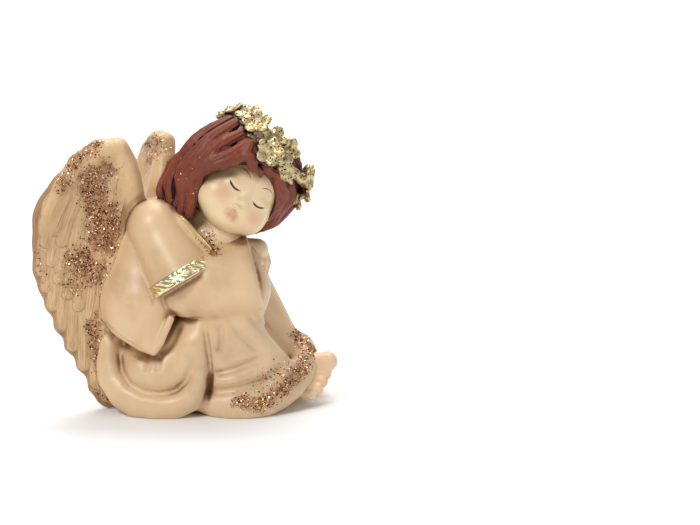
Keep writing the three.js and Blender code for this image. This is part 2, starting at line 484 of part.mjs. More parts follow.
// Thinning can also pinch two sheets of the skin together along an edge, which then has four facets. Each
// sheet gets corners of its own again there, drawn back a little into the sheet.
const DRAWN_BACK = 0.12;
const unpinched = (geometry) => {
  const corners = withoutFlaps(geometry.index.array);
  const places = Array.from(geometry.attributes.position.array);
  const at = (corner) => places.slice(3 * corner, 3 * corner + 3);
  const facetOf = (slot) => Math.floor(slot / 3);
  const nextSlot = (slot) => (slot % 3 === 2 ? slot - 2 : slot + 1);

  // the facets at each edge; forward says that the facet runs from the lower corner to the higher
  const edges = new Map();
  corners.forEach((a, slot) => {
    const b = corners[nextSlot(slot)];
    const edge = min(a, b) * 1e6 + max(a, b);
    const use = { facet: facetOf(slot), far: corners[nextSlot(nextSlot(slot))], forward: a < b };
    edges.set(edge, [...(edges.get(edge) ?? []), use]);
  });

  // neighbours across an edge; round a pinched edge they are the two facets that bound the same material
  const neighbours = new Map();
  const link = (edge, a, b) => {
    neighbours.set(`${edge} ${a}`, b);
    neighbours.set(`${edge} ${b}`, a);
  };
  const pinched = new Set();
  for (const [edge, uses] of edges) {
    const ends = [Math.floor(edge / 1e6), edge % 1e6];
    if (uses.length === 2) {
      link(edge, uses[0].facet, uses[1].facet);
    } else {
      ends.forEach((corner) => pinched.add(corner));
      const base = at(ends[0]);
      const axis = new THREE.Vector3(...shift(at(ends[1]), base, -1)).normalize();
      const zero = new THREE.Vector3(...shift(at(uses[0].far), base, -1)).cross(axis).normalize();
      const quarter = axis.clone().cross(zero);
      const turned = uses.map((use) => {
        const arm = new THREE.Vector3(...shift(at(use.far), base, -1));
        return { ...use, angle: atan2(arm.dot(quarter), arm.dot(zero)) };
      }).sort((p, q) => p.angle - q.angle);
      turned.forEach((use, i) => {
        if (!use.forward) link(edge, use.facet, turned[(i + 1) % turned.length].facet);
      });
    }
  }

  const result = [...corners];
  for (const corner of pinched) {
    const slots = corners.flatMap((c, slot) => (c === corner ? [slot] : []));
    let fans = slots.map((slot) => [slot]);
    for (const slot of slots) {
      for (const other of [nextSlot(slot), nextSlot(nextSlot(slot))]) {
        const edge = min(corner, corners[other]) * 1e6 + max(corner, corners[other]);
        const neighbour = neighbours.get(`${edge} ${facetOf(slot)}`);
        const joined = fans.filter((fan) => fan.some((s) => s === slot || facetOf(s) === neighbour));
        fans = [...fans.filter((fan) => !joined.includes(fan)), joined.flat()];
      }
    }
    const home = at(corner);
    fans.forEach((fan, n) => {
      const own = n === 0 ? corner : places.length / 3;
      const rim = fan.flatMap((slot) => [nextSlot(slot), nextSlot(nextSlot(slot))]);
      const far = rim.map((slot) => at(corners[slot]));
      home.forEach((v, k) => {
        places[3 * own + k] = mix(v, far.reduce((sum, p) => sum + p[k], 0) / far.length, DRAWN_BACK);
      });
      fan.forEach((slot) => {
        result[slot] = own;
      });
    });
  }
  const mended = new THREE.BufferGeometry();
  mended.setAttribute('position', new THREE.Float32BufferAttribute(places, 3));
  mended.setIndex(result);
  return mended;
};

// the outer skin alone, without the small voids that blended limbs enclose
const outer = (solid) => solid.decompose().sort((a, b) => b.volume() - a.volume())[0];
const geometryOf = (solid) => {
  const { vertProperties, triVerts } = solid.getMesh();
  const geometry = new THREE.BufferGeometry();
  geometry.setAttribute('position', new THREE.BufferAttribute(vertProperties, 3));
  geometry.setIndex(new THREE.BufferAttribute(triVerts, 1));
  return geometry;
};

const fine = geometryOf(outer(solidOf(sampled())));
const light = await new SimplifyModifier().modify(fine, fine.attributes.position.count - FACETS / 2);
const ground = new THREE.BoxGeometry(200, 200, 40);
ground.translate(0, 0, -20);
ground.deleteAttribute('normal');
ground.deleteAttribute('uv');
const cast = outer(solidOf(unpinched(light)).subtract(solidOf(mergeVertices(ground))));

// size and place: the stated height, seated on z = 0, centred over the origin
const bounds = cast.boundingBox();
const unit = HEIGHT / bounds.max[2];
const geometry = geometryOf(cast);
geometry.translate(-(bounds.min[0] + bounds.max[0]) / 2, -(bounds.min[1] + bounds.max[1]) / 2, 0);
geometry.scale(unit, unit, unit);

const paintedResin = new THREE.MeshStandardMaterial({ color: 0xd9b98f, roughness: 0.45 });
const angel = new THREE.Mesh(geometry, paintedResin);
angel.name = 'angel_figurine';
const group = new THREE.Group();
group.name = 'sleeping_angel';
group.add(angel);

export default group;
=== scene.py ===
# %% [markdown]
# # A sleeping angel in painted resin
# The real object is a small shelf figurine: one resin casting, painted cream, washed with thin brown in
# every hollow, and finished with gold foil, champagne paint and copper glitter. The frame gives its true
# size and place. Everything here is carved finer inside that same shape, and then painted.

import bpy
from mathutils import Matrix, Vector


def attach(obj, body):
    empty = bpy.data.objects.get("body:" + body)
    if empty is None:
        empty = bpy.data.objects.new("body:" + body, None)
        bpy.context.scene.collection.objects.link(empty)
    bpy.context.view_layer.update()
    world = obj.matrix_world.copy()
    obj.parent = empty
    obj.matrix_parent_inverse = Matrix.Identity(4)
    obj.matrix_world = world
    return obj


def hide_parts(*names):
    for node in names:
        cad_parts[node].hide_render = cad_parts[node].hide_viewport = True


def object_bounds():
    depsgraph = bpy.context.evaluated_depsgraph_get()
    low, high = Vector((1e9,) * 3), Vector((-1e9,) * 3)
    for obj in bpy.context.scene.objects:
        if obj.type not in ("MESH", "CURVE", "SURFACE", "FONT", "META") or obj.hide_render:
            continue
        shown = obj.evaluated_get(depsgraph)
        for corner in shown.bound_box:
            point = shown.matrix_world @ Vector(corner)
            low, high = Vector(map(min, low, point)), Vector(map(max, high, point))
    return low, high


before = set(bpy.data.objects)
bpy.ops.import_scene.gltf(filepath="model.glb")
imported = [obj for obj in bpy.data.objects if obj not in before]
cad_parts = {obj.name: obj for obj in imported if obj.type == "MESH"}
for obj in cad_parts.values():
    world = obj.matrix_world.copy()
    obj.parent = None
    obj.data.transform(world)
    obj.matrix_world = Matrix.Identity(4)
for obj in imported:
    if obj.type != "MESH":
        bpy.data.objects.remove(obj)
CAD_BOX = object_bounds()
print("frame nodes:", sorted(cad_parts))
print("box in mm:", [round(1000 * (b - a), 1) for a, b in zip(*CAD_BOX)])

# %% [markdown]
# ## Carving with distances
# Soft carved forms are hard to push about point by point. A distance function is easier: it says how far
# any place is from a shape, and two shapes melt together by a smooth minimum of their distances.
# The unit is a hundredth of the figure's height, so that the pose stays the same at any size.

# %% Small helpers for points and distances
import math
import time
from collections import namedtuple

import bpy
import numpy as np
from mathutils import Vector

F32 = np.float32
Shape = namedtuple("Shape", "distance centre radius")


def vec(*values):
    return np.array(values, F32)


def length(v):
    return np.sqrt(np.einsum("ij,ij->i", v, v))


def ramp(start, end, x):
    t = np.clip((x - start) / (end - start), 0, 1)
    return t * t * (3 - 2 * t)


def soft_min(d, e, k):
    h = np.maximum(k - np.abs(d - e), 0)
    return np.minimum(d, e) - h * h / (4 * k)


def outside(shape, p):
    return length(p - shape.centre) - shape.radius


print("a soft minimum of 1 and 1 over 2 is", soft_min(1.0, 1.0, 2.0))

# %% [markdown]
# A limb is a rounded cone between two places. Bodies, fingers, locks and folds are all made of limbs.
# Each shape carries a ball that holds it, so that places far from it are never worked out in full.


# %% Limbs, ellipsoids and how they join
def limb(a, b, ra, rb):
    a, b = vec(*a), vec(*b)
    along = b - a
    length2 = max(float(along @ along), 1e-9)

    def distance(p):
        q = p - a
        t = np.clip(q @ along / length2, 0, 1)
        return length(q - t[:, None] * along) - (ra + (rb - ra) * t)

    return Shape(distance, (a + b) / 2, math.sqrt(length2) / 2 + max(ra, rb))


def ellipsoid(centre, radii, axes):
    centre, radii, axes = vec(*centre), vec(*radii), np.array(axes, F32)

    def distance(p):
        q = (p - centre) @ axes.T / radii
        size = length(q)
        return size * (size - 1) / np.maximum(length(q / radii), 1e-6)

    return Shape(distance, centre, float(radii.max()))


def join(k, *shapes):
    centre = np.mean([s.centre for s in shapes], axis=0).astype(F32)
    radius = max(float(np.linalg.norm(s.centre - centre)) + s.radius for s in shapes)

    def distance(p):
        d = np.full(len(p), 1e3, F32)
        for s in shapes:
            near = np.flatnonzero(outside(s, p) < d + k)
            if len(near):
                d[near] = soft_min(d[near], s.distance(p[near]), k)
        return d

    return Shape(distance, centre, radius + k / 4)


def hollow(k, shape, tool):
    def distance(p):
        return -soft_min(-shape.distance(p), tool(p), k)

    return Shape(distance, shape.centre, shape.radius)


def trim(k, shape, point, normal):
    n = vec(*normal) / np.linalg.norm(normal)
    return hollow(k, shape, lambda p: -(p - vec(*point)) @ n)


def mass(k, *stations):
    return join(k, *(limb(a, b, ra, rb) for (a, ra), (b, rb) in zip(stations, stations[1:])))


print("a limb 10 long with radius 2 fits a ball of radius", limb((0, 0, 0), (10, 0, 0), 2, 2).radius)

# %% [markdown]
# Rolls of cloth and locks of hair follow a smooth curve through a few chosen places. The curve is a
# Catmull-Rom spline, which passes through every place it is given.


# %% Curves through places
def smooth_curve(points, shares):
    p = np.asarray(points, float)
    p = np.vstack([2 * p[0] - p[1], p, 2 * p[-1] - p[-2]])
    gaps = (np.diff(p, axis=0) ** 2).sum(1) ** 0.25
    spans = len(points) - 1
    s = np.minimum(np.asarray(shares) * spans, spans - 1e-9)
    i = s.astype(int)
    w = (s - i)[:, None]
    a, b, c = (gaps[i + n][:, None] for n in range(3))
    p0, p1, p2, p3 = (p[i + n] for n in range(4))
    leave = ((p1 - p0) / a - (p2 - p0) / (a + b) + (p2 - p1) / b) * b
    reach = ((p2 - p1) / b - (p3 - p1) / (b + c) + (p3 - p2) / c) * b
    square = 3 * (p2 - p1) - 2 * leave - reach
    cube = 2 * (p1 - p2) + leave + reach
    return p1 + leave * w + square * w**2 + cube * w**3


def evenly(points, count):
    shares = np.linspace(0, 1, 201)
    dense = smooth_curve(points, shares)
    run = np.append(0, np.cumsum(np.linalg.norm(np.diff(dense, axis=0), axis=1)))
    return smooth_curve(points, np.interp(np.linspace(0, run[-1], count + 1), run, shares))


def roll_sizes(sizes, count):
    return np.interp(np.linspace(0, 1, count + 1), [0, 0.5, 1], sizes)


def roll(points, sizes, pieces=8):
    return mass(0.05, *zip(evenly(points, pieces), roll_sizes(sizes, pieces)))


def chain_distance(across, up, marks):
    """Flat distance to a chain of marks, and the share of the chain where it is nearest."""
    nearest = np.full(len(across), 1e3, F32)
    where = np.zeros(len(across), F32)
    for i in range(1, len(marks)):
        a = marks[i - 1]
        along = marks[i] - a
        t = np.clip(((across - a[0]) * along[0] + (up - a[1]) * along[1]) / (along @ along), 0, 1)
        gap = np.hypot(across - a[0] - t * along[0], up - a[1] - t * along[1])
        closer = gap < nearest
        nearest = np.where(closer, gap, nearest)
        where = np.where(closer, (i - 1 + t) / (len(marks) - 1), where)
    return nearest, where


print("a curve of 2 spans, cut in 4:", evenly([(0, 0, 0), (1, 1, 0), (2, 0, 0)], 4).round(2).tolist())

# %% [markdown]
# ## The robe
# The robe covers a child sitting with drawn-up knees. Big round masses give the seat, thighs and shins,
# and rolls along the ground give the thick hem. The folds are drawn as strokes on the front, as a carver
# would draw them on the block, and pushed in along the strokes.

# %% Masses under the robe
VIEW_TILT = math.radians(12)
NEAREST = -23.0

seat = mass(2, ((-10.3, -8, 11.2), 14), ((-10.3, 12, 6.9), 14))
thighs = join(4, limb((-7.1, -10, 12.3), (14.2, -12, 30.5), 12, 11),
              limb((-7.8, 12, 7.6), (16.8, 12, 32), 12, 10))
skirt = join(5, limb((13.6, -7, 23.5), (16.8, -9, 6.4), 12.5, 13),
             limb((11.6, 8, 16.4), (18.1, 12, 1.6), 12, 13))
shin_near = limb((14.2, -11, 28.7), (26.8, -9, 10.7), 10.5, 9.5)
shin_far = mass(2, ((17.4, 8, 39.5), 9), ((29.4, 8, 15.4), 8.6), ((32, 10, 4.4), 9))
knee_near = limb((16.2, -8, 39.6), (17.4, -8, 39.6), 10.5, 10.5)
seat_roll = roll([(-23.9, -9, 21.6), (-23.6, -13, 10.9), (-17.1, -17, 4.5), (-6.1, -19, 3.3),
                  (1.6, -19.5, 6.7), (4.5, -19, 16.2), (3.9, -18, 23.5)], (4.4, 5, 4.6), 10)
hem_roll = roll([(5.2, -15, 4.1), (9.7, -18, 3.1), (18.1, -19.5, 2.4), (26.5, -17, 3.8), (33.6, -11, 7.5),
                 (38.4, -2, 12.2), (37.5, 6, 16.1), (36.2, 20, 11.8)], (3.2, 4.7, 4.8), 12)
skirt_mass = join(3, join(5, seat, thighs, skirt), shin_near, shin_far, knee_near, seat_roll, hem_roll)
trunk = mass(4, ((-11, 2, 17.6), 13), ((-7.8, 1, 41), 13), ((-5.2, 1, 55.8), 12))
shoulders = join(4, limb((-8.7, -12, 61.6), (-1.9, 14, 57.4), 8.5, 8.5),
                 limb((-11.6, 0, 57), (-10.3, 0, 57), 11, 11))
under_robe = join(2, skirt_mass, trunk, shoulders)
print("the robe's masses reach", round(under_robe.radius), "hundredths of the height")

# %% Folds on the front and back
# each stroke: depth, half width, then its marks across and up as seen from the front
FOLDS = [
    (1.7, 1.2, [(-21.6, 25.7), (-20.7, 17.3), (-16.8, 11.1), (-10.3, 8.6), (-3.9, 8.9), (1, 12.1),
                (4.2, 21.8)]),
    (1.4, 0.8, [(6.5, 32.8), (7.8, 24.1), (8.4, 15.3), (7.1, 5.7)]),
    (1.2, 0.7, [(12, 31.2), (12.3, 25.7), (11, 20.5)]),
    (1.2, 0.9, [(8.7, 14.4), (16.5, 16.3), (25.8, 20.5)]),
    (1.6, 1.1, [(8.4, 8.9), (18.1, 10.2), (27.1, 13.4), (33.6, 19.2)]),
    (1.6, 1.1, [(-23.3, 26.3), (-16.5, 22.4), (-8.4, 20.5)]),
    (0.8, 0.6, [(-10.3, 21.2), (-12, 14.7)]),
    (0.8, 0.6, [(-7.8, 21.2), (-8.4, 15.3)]),
    (0.8, 0.8, [(-0.6, 31.5), (-3.9, 24.1), (-7.8, 21.2)]),
    (1.6, 0.9, [(21.3, 34.7), (27.1, 28.3), (33.9, 21.2)]),
    (1.2, 0.8, [(25.2, 34.7), (31, 27.6), (35.2, 22.8)]),
    (0.8, 0.8, [(15.5, 31.5), (20, 25.7), (25.2, 21.8)]),
    (-0.9, 1.4, [(9, 11.5), (18.1, 13.1), (27.1, 16.6)]),
    (-0.8, 1.6, [(-17.4, 20.5), (-11, 15), (-3.2, 17.3)]),
]
SOFTNESS = 1.45
FOLD_CHAINS = [(depth, SOFTNESS * width, evenly(marks, 9)) for depth, width, marks in FOLDS]
BACK_FOLDS = 9


def seen(p):
    """Where a place shows from the front: across, and up."""
    return p[:, 0], p[:, 2] * math.cos(VIEW_TILT) + (p[:, 1] - NEAREST) * math.sin(VIEW_TILT)


def front_folds(p):
    total = np.zeros(len(p), F32)
    front = np.flatnonzero(p[:, 1] < 2)
    across, up = seen(p[front])
    for depth, width, marks in FOLD_CHAINS:
        gap, where = chain_distance(across, up, marks)
        taper = np.minimum(1, 5 * np.minimum(where, 1 - where) + 0.15)
        total[front] += depth * taper * np.exp(-((gap / width) ** 2))
    return total * ramp(2, -3, p[:, 1])


def back_folds(p):
    turn = np.arctan2(p[:, 1] - 5, p[:, 0] + 9)
    ridge = 1 - np.abs(np.sin(turn * BACK_FOLDS / 2 + 0.5 * np.sin(p[:, 2] * 0.12)))
    return -0.9 * ridge * ramp(-0.1, 0.5, np.sin(turn)) * ramp(44, 24, p[:, 2])


print("strokes on the front:", len(FOLDS))

# %% The over-tunic, and the robe with its folds
tunic_mass = join(4, mass(4, ((-11, -5, 52.1), 11), ((-14.9, -9, 36.5), 11.5), ((-13.6, -11, 25.4), 12)),
                  limb((-11.6, -13, 37.3), (-9, -15, 23.9), 8.5, 8.5),
                  mass(4, ((-7.8, 6, 54.8), 12), ((-14.2, 12, 18.8), 14)))
tunic_edge = roll([(-22.5, -2, 30.5), (-23.9, -12, 28.6), (-17.4, -19.5, 25.5), (-9, -23, 22.6),
                   (-6.8, -23.5, 27), (-3.9, -22, 33.3)], (1.2, 1.3, 1.2), 10)
tunic_hem = trim(1, tunic_mass, (-18.1, -20, 26.3), (-0.42, 0.05, -0.9))
tunic = join(1, trim(0.8, tunic_hem, (-6.1, -22, 27.4), (0.9, -0.1, -0.43)), tunic_edge)


def robe_distance(p):
    d = under_robe.distance(p)
    near = np.flatnonzero(np.abs(d) < 6)
    d[near] += front_folds(p[near]) + back_folds(p[near])
    return soft_min(d, tunic.distance(p), 0.8)


robe = Shape(robe_distance, under_robe.centre, under_robe.radius + 8)
print("the robe fits a ball of radius", round(robe.radius))

# %% [markdown]
# ## Sleeves, hands and feet
# The upper sleeve ends in a wide cuff with a raised band. The forearm lies across the knees and the small
# fingers hang over the far edge. The feet are bare, with separate toes.

# %% Arms
ARM_TOP = (-9.4, -12, 60.9)
ARM_END = (1.9, -19.5, 42.7)
CUFF = (0.6, -19, 44.6)
CUFF_NORMAL = (0.5, -0.2, -0.84)
BAND_WIDTH = 4.0
CUFF_LEAVES = 13


def cuff_emboss(p):
    """Leaves pressed into the foil band: paired dimples that run round the sleeve."""
    axis = vec(*ARM_END) - vec(*ARM_TOP)
    axis /= np.linalg.norm(axis)
    q = p - vec(*ARM_TOP)
    side = np.cross(axis, vec(0, 1, 0))
    side /= np.linalg.norm(side)
    turn = np.arctan2(q @ np.cross(axis, side), q @ side)
    along = (p - vec(*CUFF)) @ vec(*CUFF_NORMAL)
    leaf = np.abs(np.sin(turn * CUFF_LEAVES + 0.9 * along))
    edge = ramp(0, 0.5, -along) * ramp(BAND_WIDTH, BAND_WIDTH - 0.5, -along)
    beading = 0.16 * edge * np.sin(along * 4.2 + turn * (2 * CUFF_LEAVES))
    return 0.34 * edge * (1 - leaf**1.5) + beading


upper_sleeve = trim(0.6, limb(ARM_TOP, ARM_END, 8.5, 11), CUFF, CUFF_NORMAL)
band_top = vec(*CUFF) - BAND_WIDTH * vec(*CUFF_NORMAL)
plain_band = trim(0.5, trim(0.5, limb(ARM_TOP, ARM_END, 9.2, 11.8), CUFF, CUFF_NORMAL),
                  band_top, -vec(*CUFF_NORMAL))
cuff_band = Shape(lambda p: plain_band.distance(p) + cuff_emboss(p), plain_band.centre, plain_band.radius)
whole_sleeve = join(3, mass(3, ((0.6, -17, 40.2), 7.5), ((9, -17, 43.5), 10.5), ((17.8, -15, 44.4), 12)),
                    limb((7.8, -11, 49.5), (18.1, -8, 51.5), 7, 7.4))
fore_sleeve = trim(1.2, whole_sleeve, (23.3, -15, 46), (1, 0.1, 0.22))
sleeve_turn = roll([(19.1, -9, 54.3), (22.6, -13, 51.2), (25.2, -15, 43.7), (24.5, -16, 37), (22, -17, 33.6)],
                   (1.3, 1.6, 1.4), 8)
elbow = limb((-4.5, -17, 36.2), (0.3, -18, 38.4), 2.4, 6)
far_arm = mass(3, ((-0.6, 13, 56.2), 8.5), ((12.3, 18, 35.7), 9), ((20, 8, 45.4), 7.5))
COLLAR = [(-4.5, -12, 66.2), (0, -16, 63.7), (4.5, -17, 58.7), (9.7, -16, 52.5)]
collar = roll(COLLAR, (1.5, 1.5, 1.5))
dressed = join(1.2, robe, far_arm, join(0.8, upper_sleeve, collar))
clothes = join(0.8, dressed, join(0.8, fore_sleeve, sleeve_turn), elbow)


def finger(knuckle, middle, tip, size):
    return mass(0.4, (knuckle, size + 0.2), (middle, size), (tip, size - 0.3))


hand = join(1, limb((19.4, -3, 52.7), (23.3, -2, 51.8), 3.2, 3.6),
            finger((22.6, -4, 51.6), (23.6, -6, 48.4), (23.3, -7, 45), 1.7),
            finger((24.2, -1, 51.3), (25.2, -3, 47.8), (24.7, -4, 44), 1.7),
            finger((24.9, 2, 50.7), (26.2, 0, 47.1), (25.7, -1, 43.7), 1.6))
neck = join(2, limb((1.9, 0, 52.7), (9, -2, 63.1), 8, 7.5), limb((3.9, -8, 54.1), (12.3, -8, 57.4), 6, 7))
print("the cuff band is", BAND_WIDTH, "hundredths wide")

# %% Bare feet
near_foot = join(1.4, limb((32.3, -2, 7.3), (37.5, -2, 8.6), 6.6, 5.8),
                 mass(1, ((37.5, 1, 11.9), 4), ((42.6, 0, 13.4), 3), ((46.2, 0, 13.6), 3.3)),
                 join(0.4, limb((38.1, -1, 9.7), (45.2, -2, 9.9), 3, 2.3),
                      limb((38.1, -3, 8.1), (44.3, -4, 7.8), 3, 2.1),
                      limb((37.5, -5, 6.9), (43, -6, 6), 2.8, 2),
                      limb((36.5, -6, 5.5), (40.7, -7, 4.2), 2.6, 1.9)))
far_foot = join(1.4, limb((32.9, 14, 5.2), (38.8, 14, 6.5), 6, 5),
                limb((38.8, 10, 8.7), (43.6, 9, 9.5), 3, 2.6),
                join(0.4, limb((38.8, 14, 7.2), (43, 14, 7.2), 3, 2.1),
                     limb((37.5, 18, 5.3), (41.3, 18, 4.7), 2.8, 2)))
feet = join(0.8, near_foot, far_foot)
print("toes on the near foot: 5")

# %% [markdown]
# ## The head
# The head is tipped over and turned, so it gets directions of its own: right, up and face. Everything on
# it is placed along these three, and the features stay together when the tilt changes. The face is a
# plain doll's face: round cheeks, closed lids, a small nose and mouth.

# %% Directions of the head
HEAD = vec(17.6, -6, 73.3)
HEAD_TIP = math.radians(40)
HEAD_TURN = math.radians(18)
upright = vec(0, math.sin(VIEW_TILT), math.cos(VIEW_TILT))
to_front = vec(0, -math.cos(VIEW_TILT), math.sin(VIEW_TILT))
sideways = vec(1, 0, 0) * math.cos(HEAD_TIP) - upright * math.sin(HEAD_TIP)
head_up = vec(1, 0, 0) * math.sin(HEAD_TIP) + upright * math.cos(HEAD_TIP)
head_face = to_front * math.cos(HEAD_TURN) + sideways * math.sin(HEAD_TURN)
head_right = sideways * math.cos(HEAD_TURN) - to_front * math.sin(HEAD_TURN)
HEAD_AXES = np.array([head_right, head_up, head_face], F32)


def on_head(right, up, face):
    return HEAD + vec(right, up, face) @ HEAD_AXES


def in_head(p):
    return ((p - HEAD) @ HEAD_AXES.T).T


print("the head leans", round(math.degrees(HEAD_TIP)), "degrees")

# %% Face
SIDES = (-1, 1)
skull = ellipsoid(on_head(0, 0.5, 0), (12.8, 15.5, 15), HEAD_AXES)
cheeks = [ellipsoid(on_head(s * 5.8, -5.6, 6.8), (6.9, 6.6, 7), HEAD_AXES) for s in SIDES]
chin = ellipsoid(on_head(0, -9.6, 8), (5.6, 4.2, 5.8), HEAD_AXES)
eyelids = [ellipsoid(on_head(s * 5, 0.3, 11.5), (3.2, 2.2, 2.5), HEAD_AXES) for s in SIDES]
nostrils = [limb(on_head(s * 1.1, -3.5, 14.8), on_head(s * 1.3, -3.5, 14.6), 0.9, 0.8) for s in SIDES]
nose = join(1, limb(on_head(0, 1.4, 14), on_head(0, -3, 15.6), 0.9, 1.3), *nostrils)
upper_lip = [limb(on_head(s * 0.4, -7.7, 14.6), on_head(s * 2.2, -8.2, 13.6), 0.75, 0.35) for s in SIDES]
lips = join(0.5, *upper_lip, limb(on_head(-0.9, -9, 14.3), on_head(0.9, -9, 14.3), 0.8, 0.8))
face = join(1.2, join(3.5, skull, *cheeks, chin), *eyelids, nose, lips)
head_and_neck = join(0.8, neck, face)
print("face features:", len(cheeks) + len(eyelids) + len(nostrils) + len(upper_lip) + 3)

# %% [markdown]
# ## The hair
# Thick wavy locks are swept back from the face. Each lock is a roll whose skin is grooved into strands:
# the groove depends on the angle round the lock, and the angle turns slowly along it, as hair twists.

# %% Strands and locks
STRAND_DEPTH = 0.42
LOCK_WAVE = 0.7
LOCK_TWIST = 0.35
LOCK_STRANDS = 10
LOCK_PIECES = 12


def strand_limb(a, b, ra, rb, side_a, side_b, phase_a, phase_b):
    plain = limb(a, b, ra, rb)
    a, b = vec(*a), vec(*b)
    along = b - a
    length2 = float(along @ along)
    axis = along / math.sqrt(length2)

    def distance(p):
        q = p - a
        t = np.clip(q @ along / length2, 0, 1)[:, None]
        side = side_a + (side_b - side_a) * t
        turn = np.arctan2(np.einsum("ij,ij->i", q, np.cross(axis, side)), np.einsum("ij,ij->i", q, side))
        phase = phase_a + (phase_b - phase_a) * t[:, 0]
        groove = 1 - np.abs(np.sin(turn * LOCK_STRANDS / 2 + phase))
        return plain.distance(p) + STRAND_DEPTH * groove**1.5

    return Shape(distance, plain.centre, plain.radius)


def strand_roll(places, sizes, phase):
    pieces = len(places) - 1
    radii = roll_sizes(sizes, pieces)
    ways = np.gradient(places, axis=0)
    ways /= np.linalg.norm(ways, axis=1)[:, None]
    side = np.cross(ways[0], (0.3, 0.9, 0.2))
    sides = []
    for way in ways:
        side = side - way * (side @ way)
        side = side / np.linalg.norm(side)
        sides.append(side.astype(F32))
    return join(0.05, *(
        strand_limb(places[i], places[i + 1], radii[i], radii[i + 1], sides[i], sides[i + 1],
                    phase + LOCK_TWIST * i, phase + LOCK_TWIST * (i + 1))
        for i in range(pieces)))


def lock(phase, sizes, *points):
    places = evenly(points, LOCK_PIECES)
    for i, place in enumerate(places):
        place += np.array((0.87, 0, 0.5)) * LOCK_WAVE * math.sin(i * 1.25 + phase) * min(1, i / 4)
    return strand_roll(places, sizes, phase)


print("strands round a lock:", LOCK_STRANDS)

# %% Hair cap and side locks
CAP = (0, 3, -2.5)
CAP_RADII = (16.8, 18, 17.2)
CAP_STRANDS = 62
FACE_OVAL = (12.6, 13.5)


def face_opening(p):
    right, up, ahead = in_head(p)
    oval = np.hypot(right / FACE_OVAL[0], (up + 5) / FACE_OVAL[1]) - 1
    return np.maximum(oval * 12, 3 - ahead)


def combed_cap(p):
    right, up, ahead = in_head(p)
    turn = np.arctan2(right - CAP[0], ahead - CAP[2])
    comb = 1 - np.abs(np.sin(turn * CAP_STRANDS / 2 + 0.9 * np.sin(up * 0.3) + 1.5 * np.sin(turn * 3)))
    return plain_cap.distance(p) + STRAND_DEPTH * comb * ramp(20, 14, up)


side_mass = join(3, mass(3, ((7.1, -5, 81.9), 7), ((0.6, -7, 75.7), 6.5), ((-1.3, -9, 68.5), 4.5)),
                 mass(3, ((31, 0, 79.2), 6), ((30.7, 2, 68.8), 4.5), ((28.1, 1, 61.8), 3.2)))
plain_cap = join(2, ellipsoid(on_head(*CAP), CAP_RADII, HEAD_AXES), side_mass)
cap = Shape(combed_cap, plain_cap.centre, plain_cap.radius)
left_locks = join(
    0.6,
    lock(0, (2, 3.1, 1.6), (14.9, -10, 95.5), (7.4, -13, 91.5), (2.3, -13, 86.2), (-1.9, -12, 80.1),
         (-4.2, -12, 74.8), (-4.8, -12, 68.8)),
    lock(1, (2, 3, 1.4), (16.8, -14, 95), (10, -17, 91), (4.8, -17.5, 85.8), (1, -17, 80.5), (0, -16, 74.3),
         (-1, -14, 66.6)),
    lock(2, (2, 2.9, 1.5), (19.1, -17, 92.3), (12.9, -19.5, 89.6), (7.4, -19.5, 84.9), (3.6, -18, 79.3),
         (2.9, -16, 72.6), (1.9, -14, 65)),
    lock(3, (2, 2.7, 1.2), (21.3, -19, 89.8), (16.8, -21, 86.9), (10.7, -21, 84.3), (6.1, -19, 80.9),
         (4.5, -17, 75.8), (4.8, -14, 69.6)),
    lock(4, (1.6, 2.2, 1.4), (21.3, -20, 89), (18.1, -21.6, 85.4), (13.6, -22, 84.2), (8.4, -21, 82.3),
         (5.2, -18.5, 78.8)),
    lock(5, (1.8, 2.8, 1.4), (5.5, -6, 88.7), (-0.3, -8, 83.2), (-4.5, -8, 78.2), (-6.5, -9, 73.5),
         (-7.1, -10, 68.7)),
    lock(6, (1.6, 2.6, 1.2), (7.1, 0, 88.7), (1, -1, 83.7), (-2.3, -2, 79.6), (-4.8, -3, 74.8),
         (-5.8, -5, 68.7)))
right_locks = join(
    0.6,
    lock(1, (1.6, 2.2, 0.8), (22, -20, 89.7), (21.3, -21.5, 86), (23.6, -21.5, 82.7), (25.2, -20.5, 79.5)),
    lock(2, (1.6, 2.2, 1), (23.3, -19.5, 89.6), (25.2, -20, 85.1), (28.1, -18.6, 81.5), (30.7, -16, 76.3)),
    lock(3, (1.6, 2.5, 1.4), (25.2, -18, 87.9), (29.1, -17, 83.8), (31.3, -15, 78), (32, -12, 72.1),
         (30, -10, 65.8)),
    lock(4, (1.6, 2.7, 1.4), (29.7, -13, 87.5), (33.3, -12, 82), (34.2, -9, 75.1), (32.9, -7, 68.1),
         (29.1, -6, 62.3)),
    lock(5, (1.6, 2.7, 1.4), (32.3, -7, 87.2), (35.5, -5, 81.2), (35.9, -3, 73.8), (33.3, -2, 66.4),
         (29.7, -1, 61.2), (25.2, -1, 58.6)),
    lock(6, (1.6, 2.7, 1.4), (32.9, 0, 86.7), (35.5, 2, 81), (35.5, 3, 74.2), (32.9, 4, 67.1),
         (28.4, 4, 60.8)),
    lock(7, (1.6, 2.3, 1.5), (32.3, -8, 68.3), (29.7, -8, 64.7), (25.8, -7, 60.8), (22.6, -6, 59)))
print("locks beside the face:", 14)

# %% Locks down the back of the head
BACK_LOCKS = 11
BACK_PIECES = 10


def back_lock(i):
    around = math.radians(112 + i * 15)
    points = []
    for j, down in enumerate((20, 45, 70, 92, 110, 124)):
        turn = around + 0.09 * math.sin(j * 2.1 + i)
        out = math.sin(math.radians(down)) * 0.955
        points.append(on_head(CAP[0] + CAP_RADII[0] * out * math.sin(turn),
                              CAP[1] + 17.4 * math.cos(math.radians(down)),
                              CAP[2] + CAP_RADII[2] * out * math.cos(turn)))
    return strand_roll(evenly(points, BACK_PIECES), (1.6, 3, 1.4 + (i % 3) * 0.3), i)


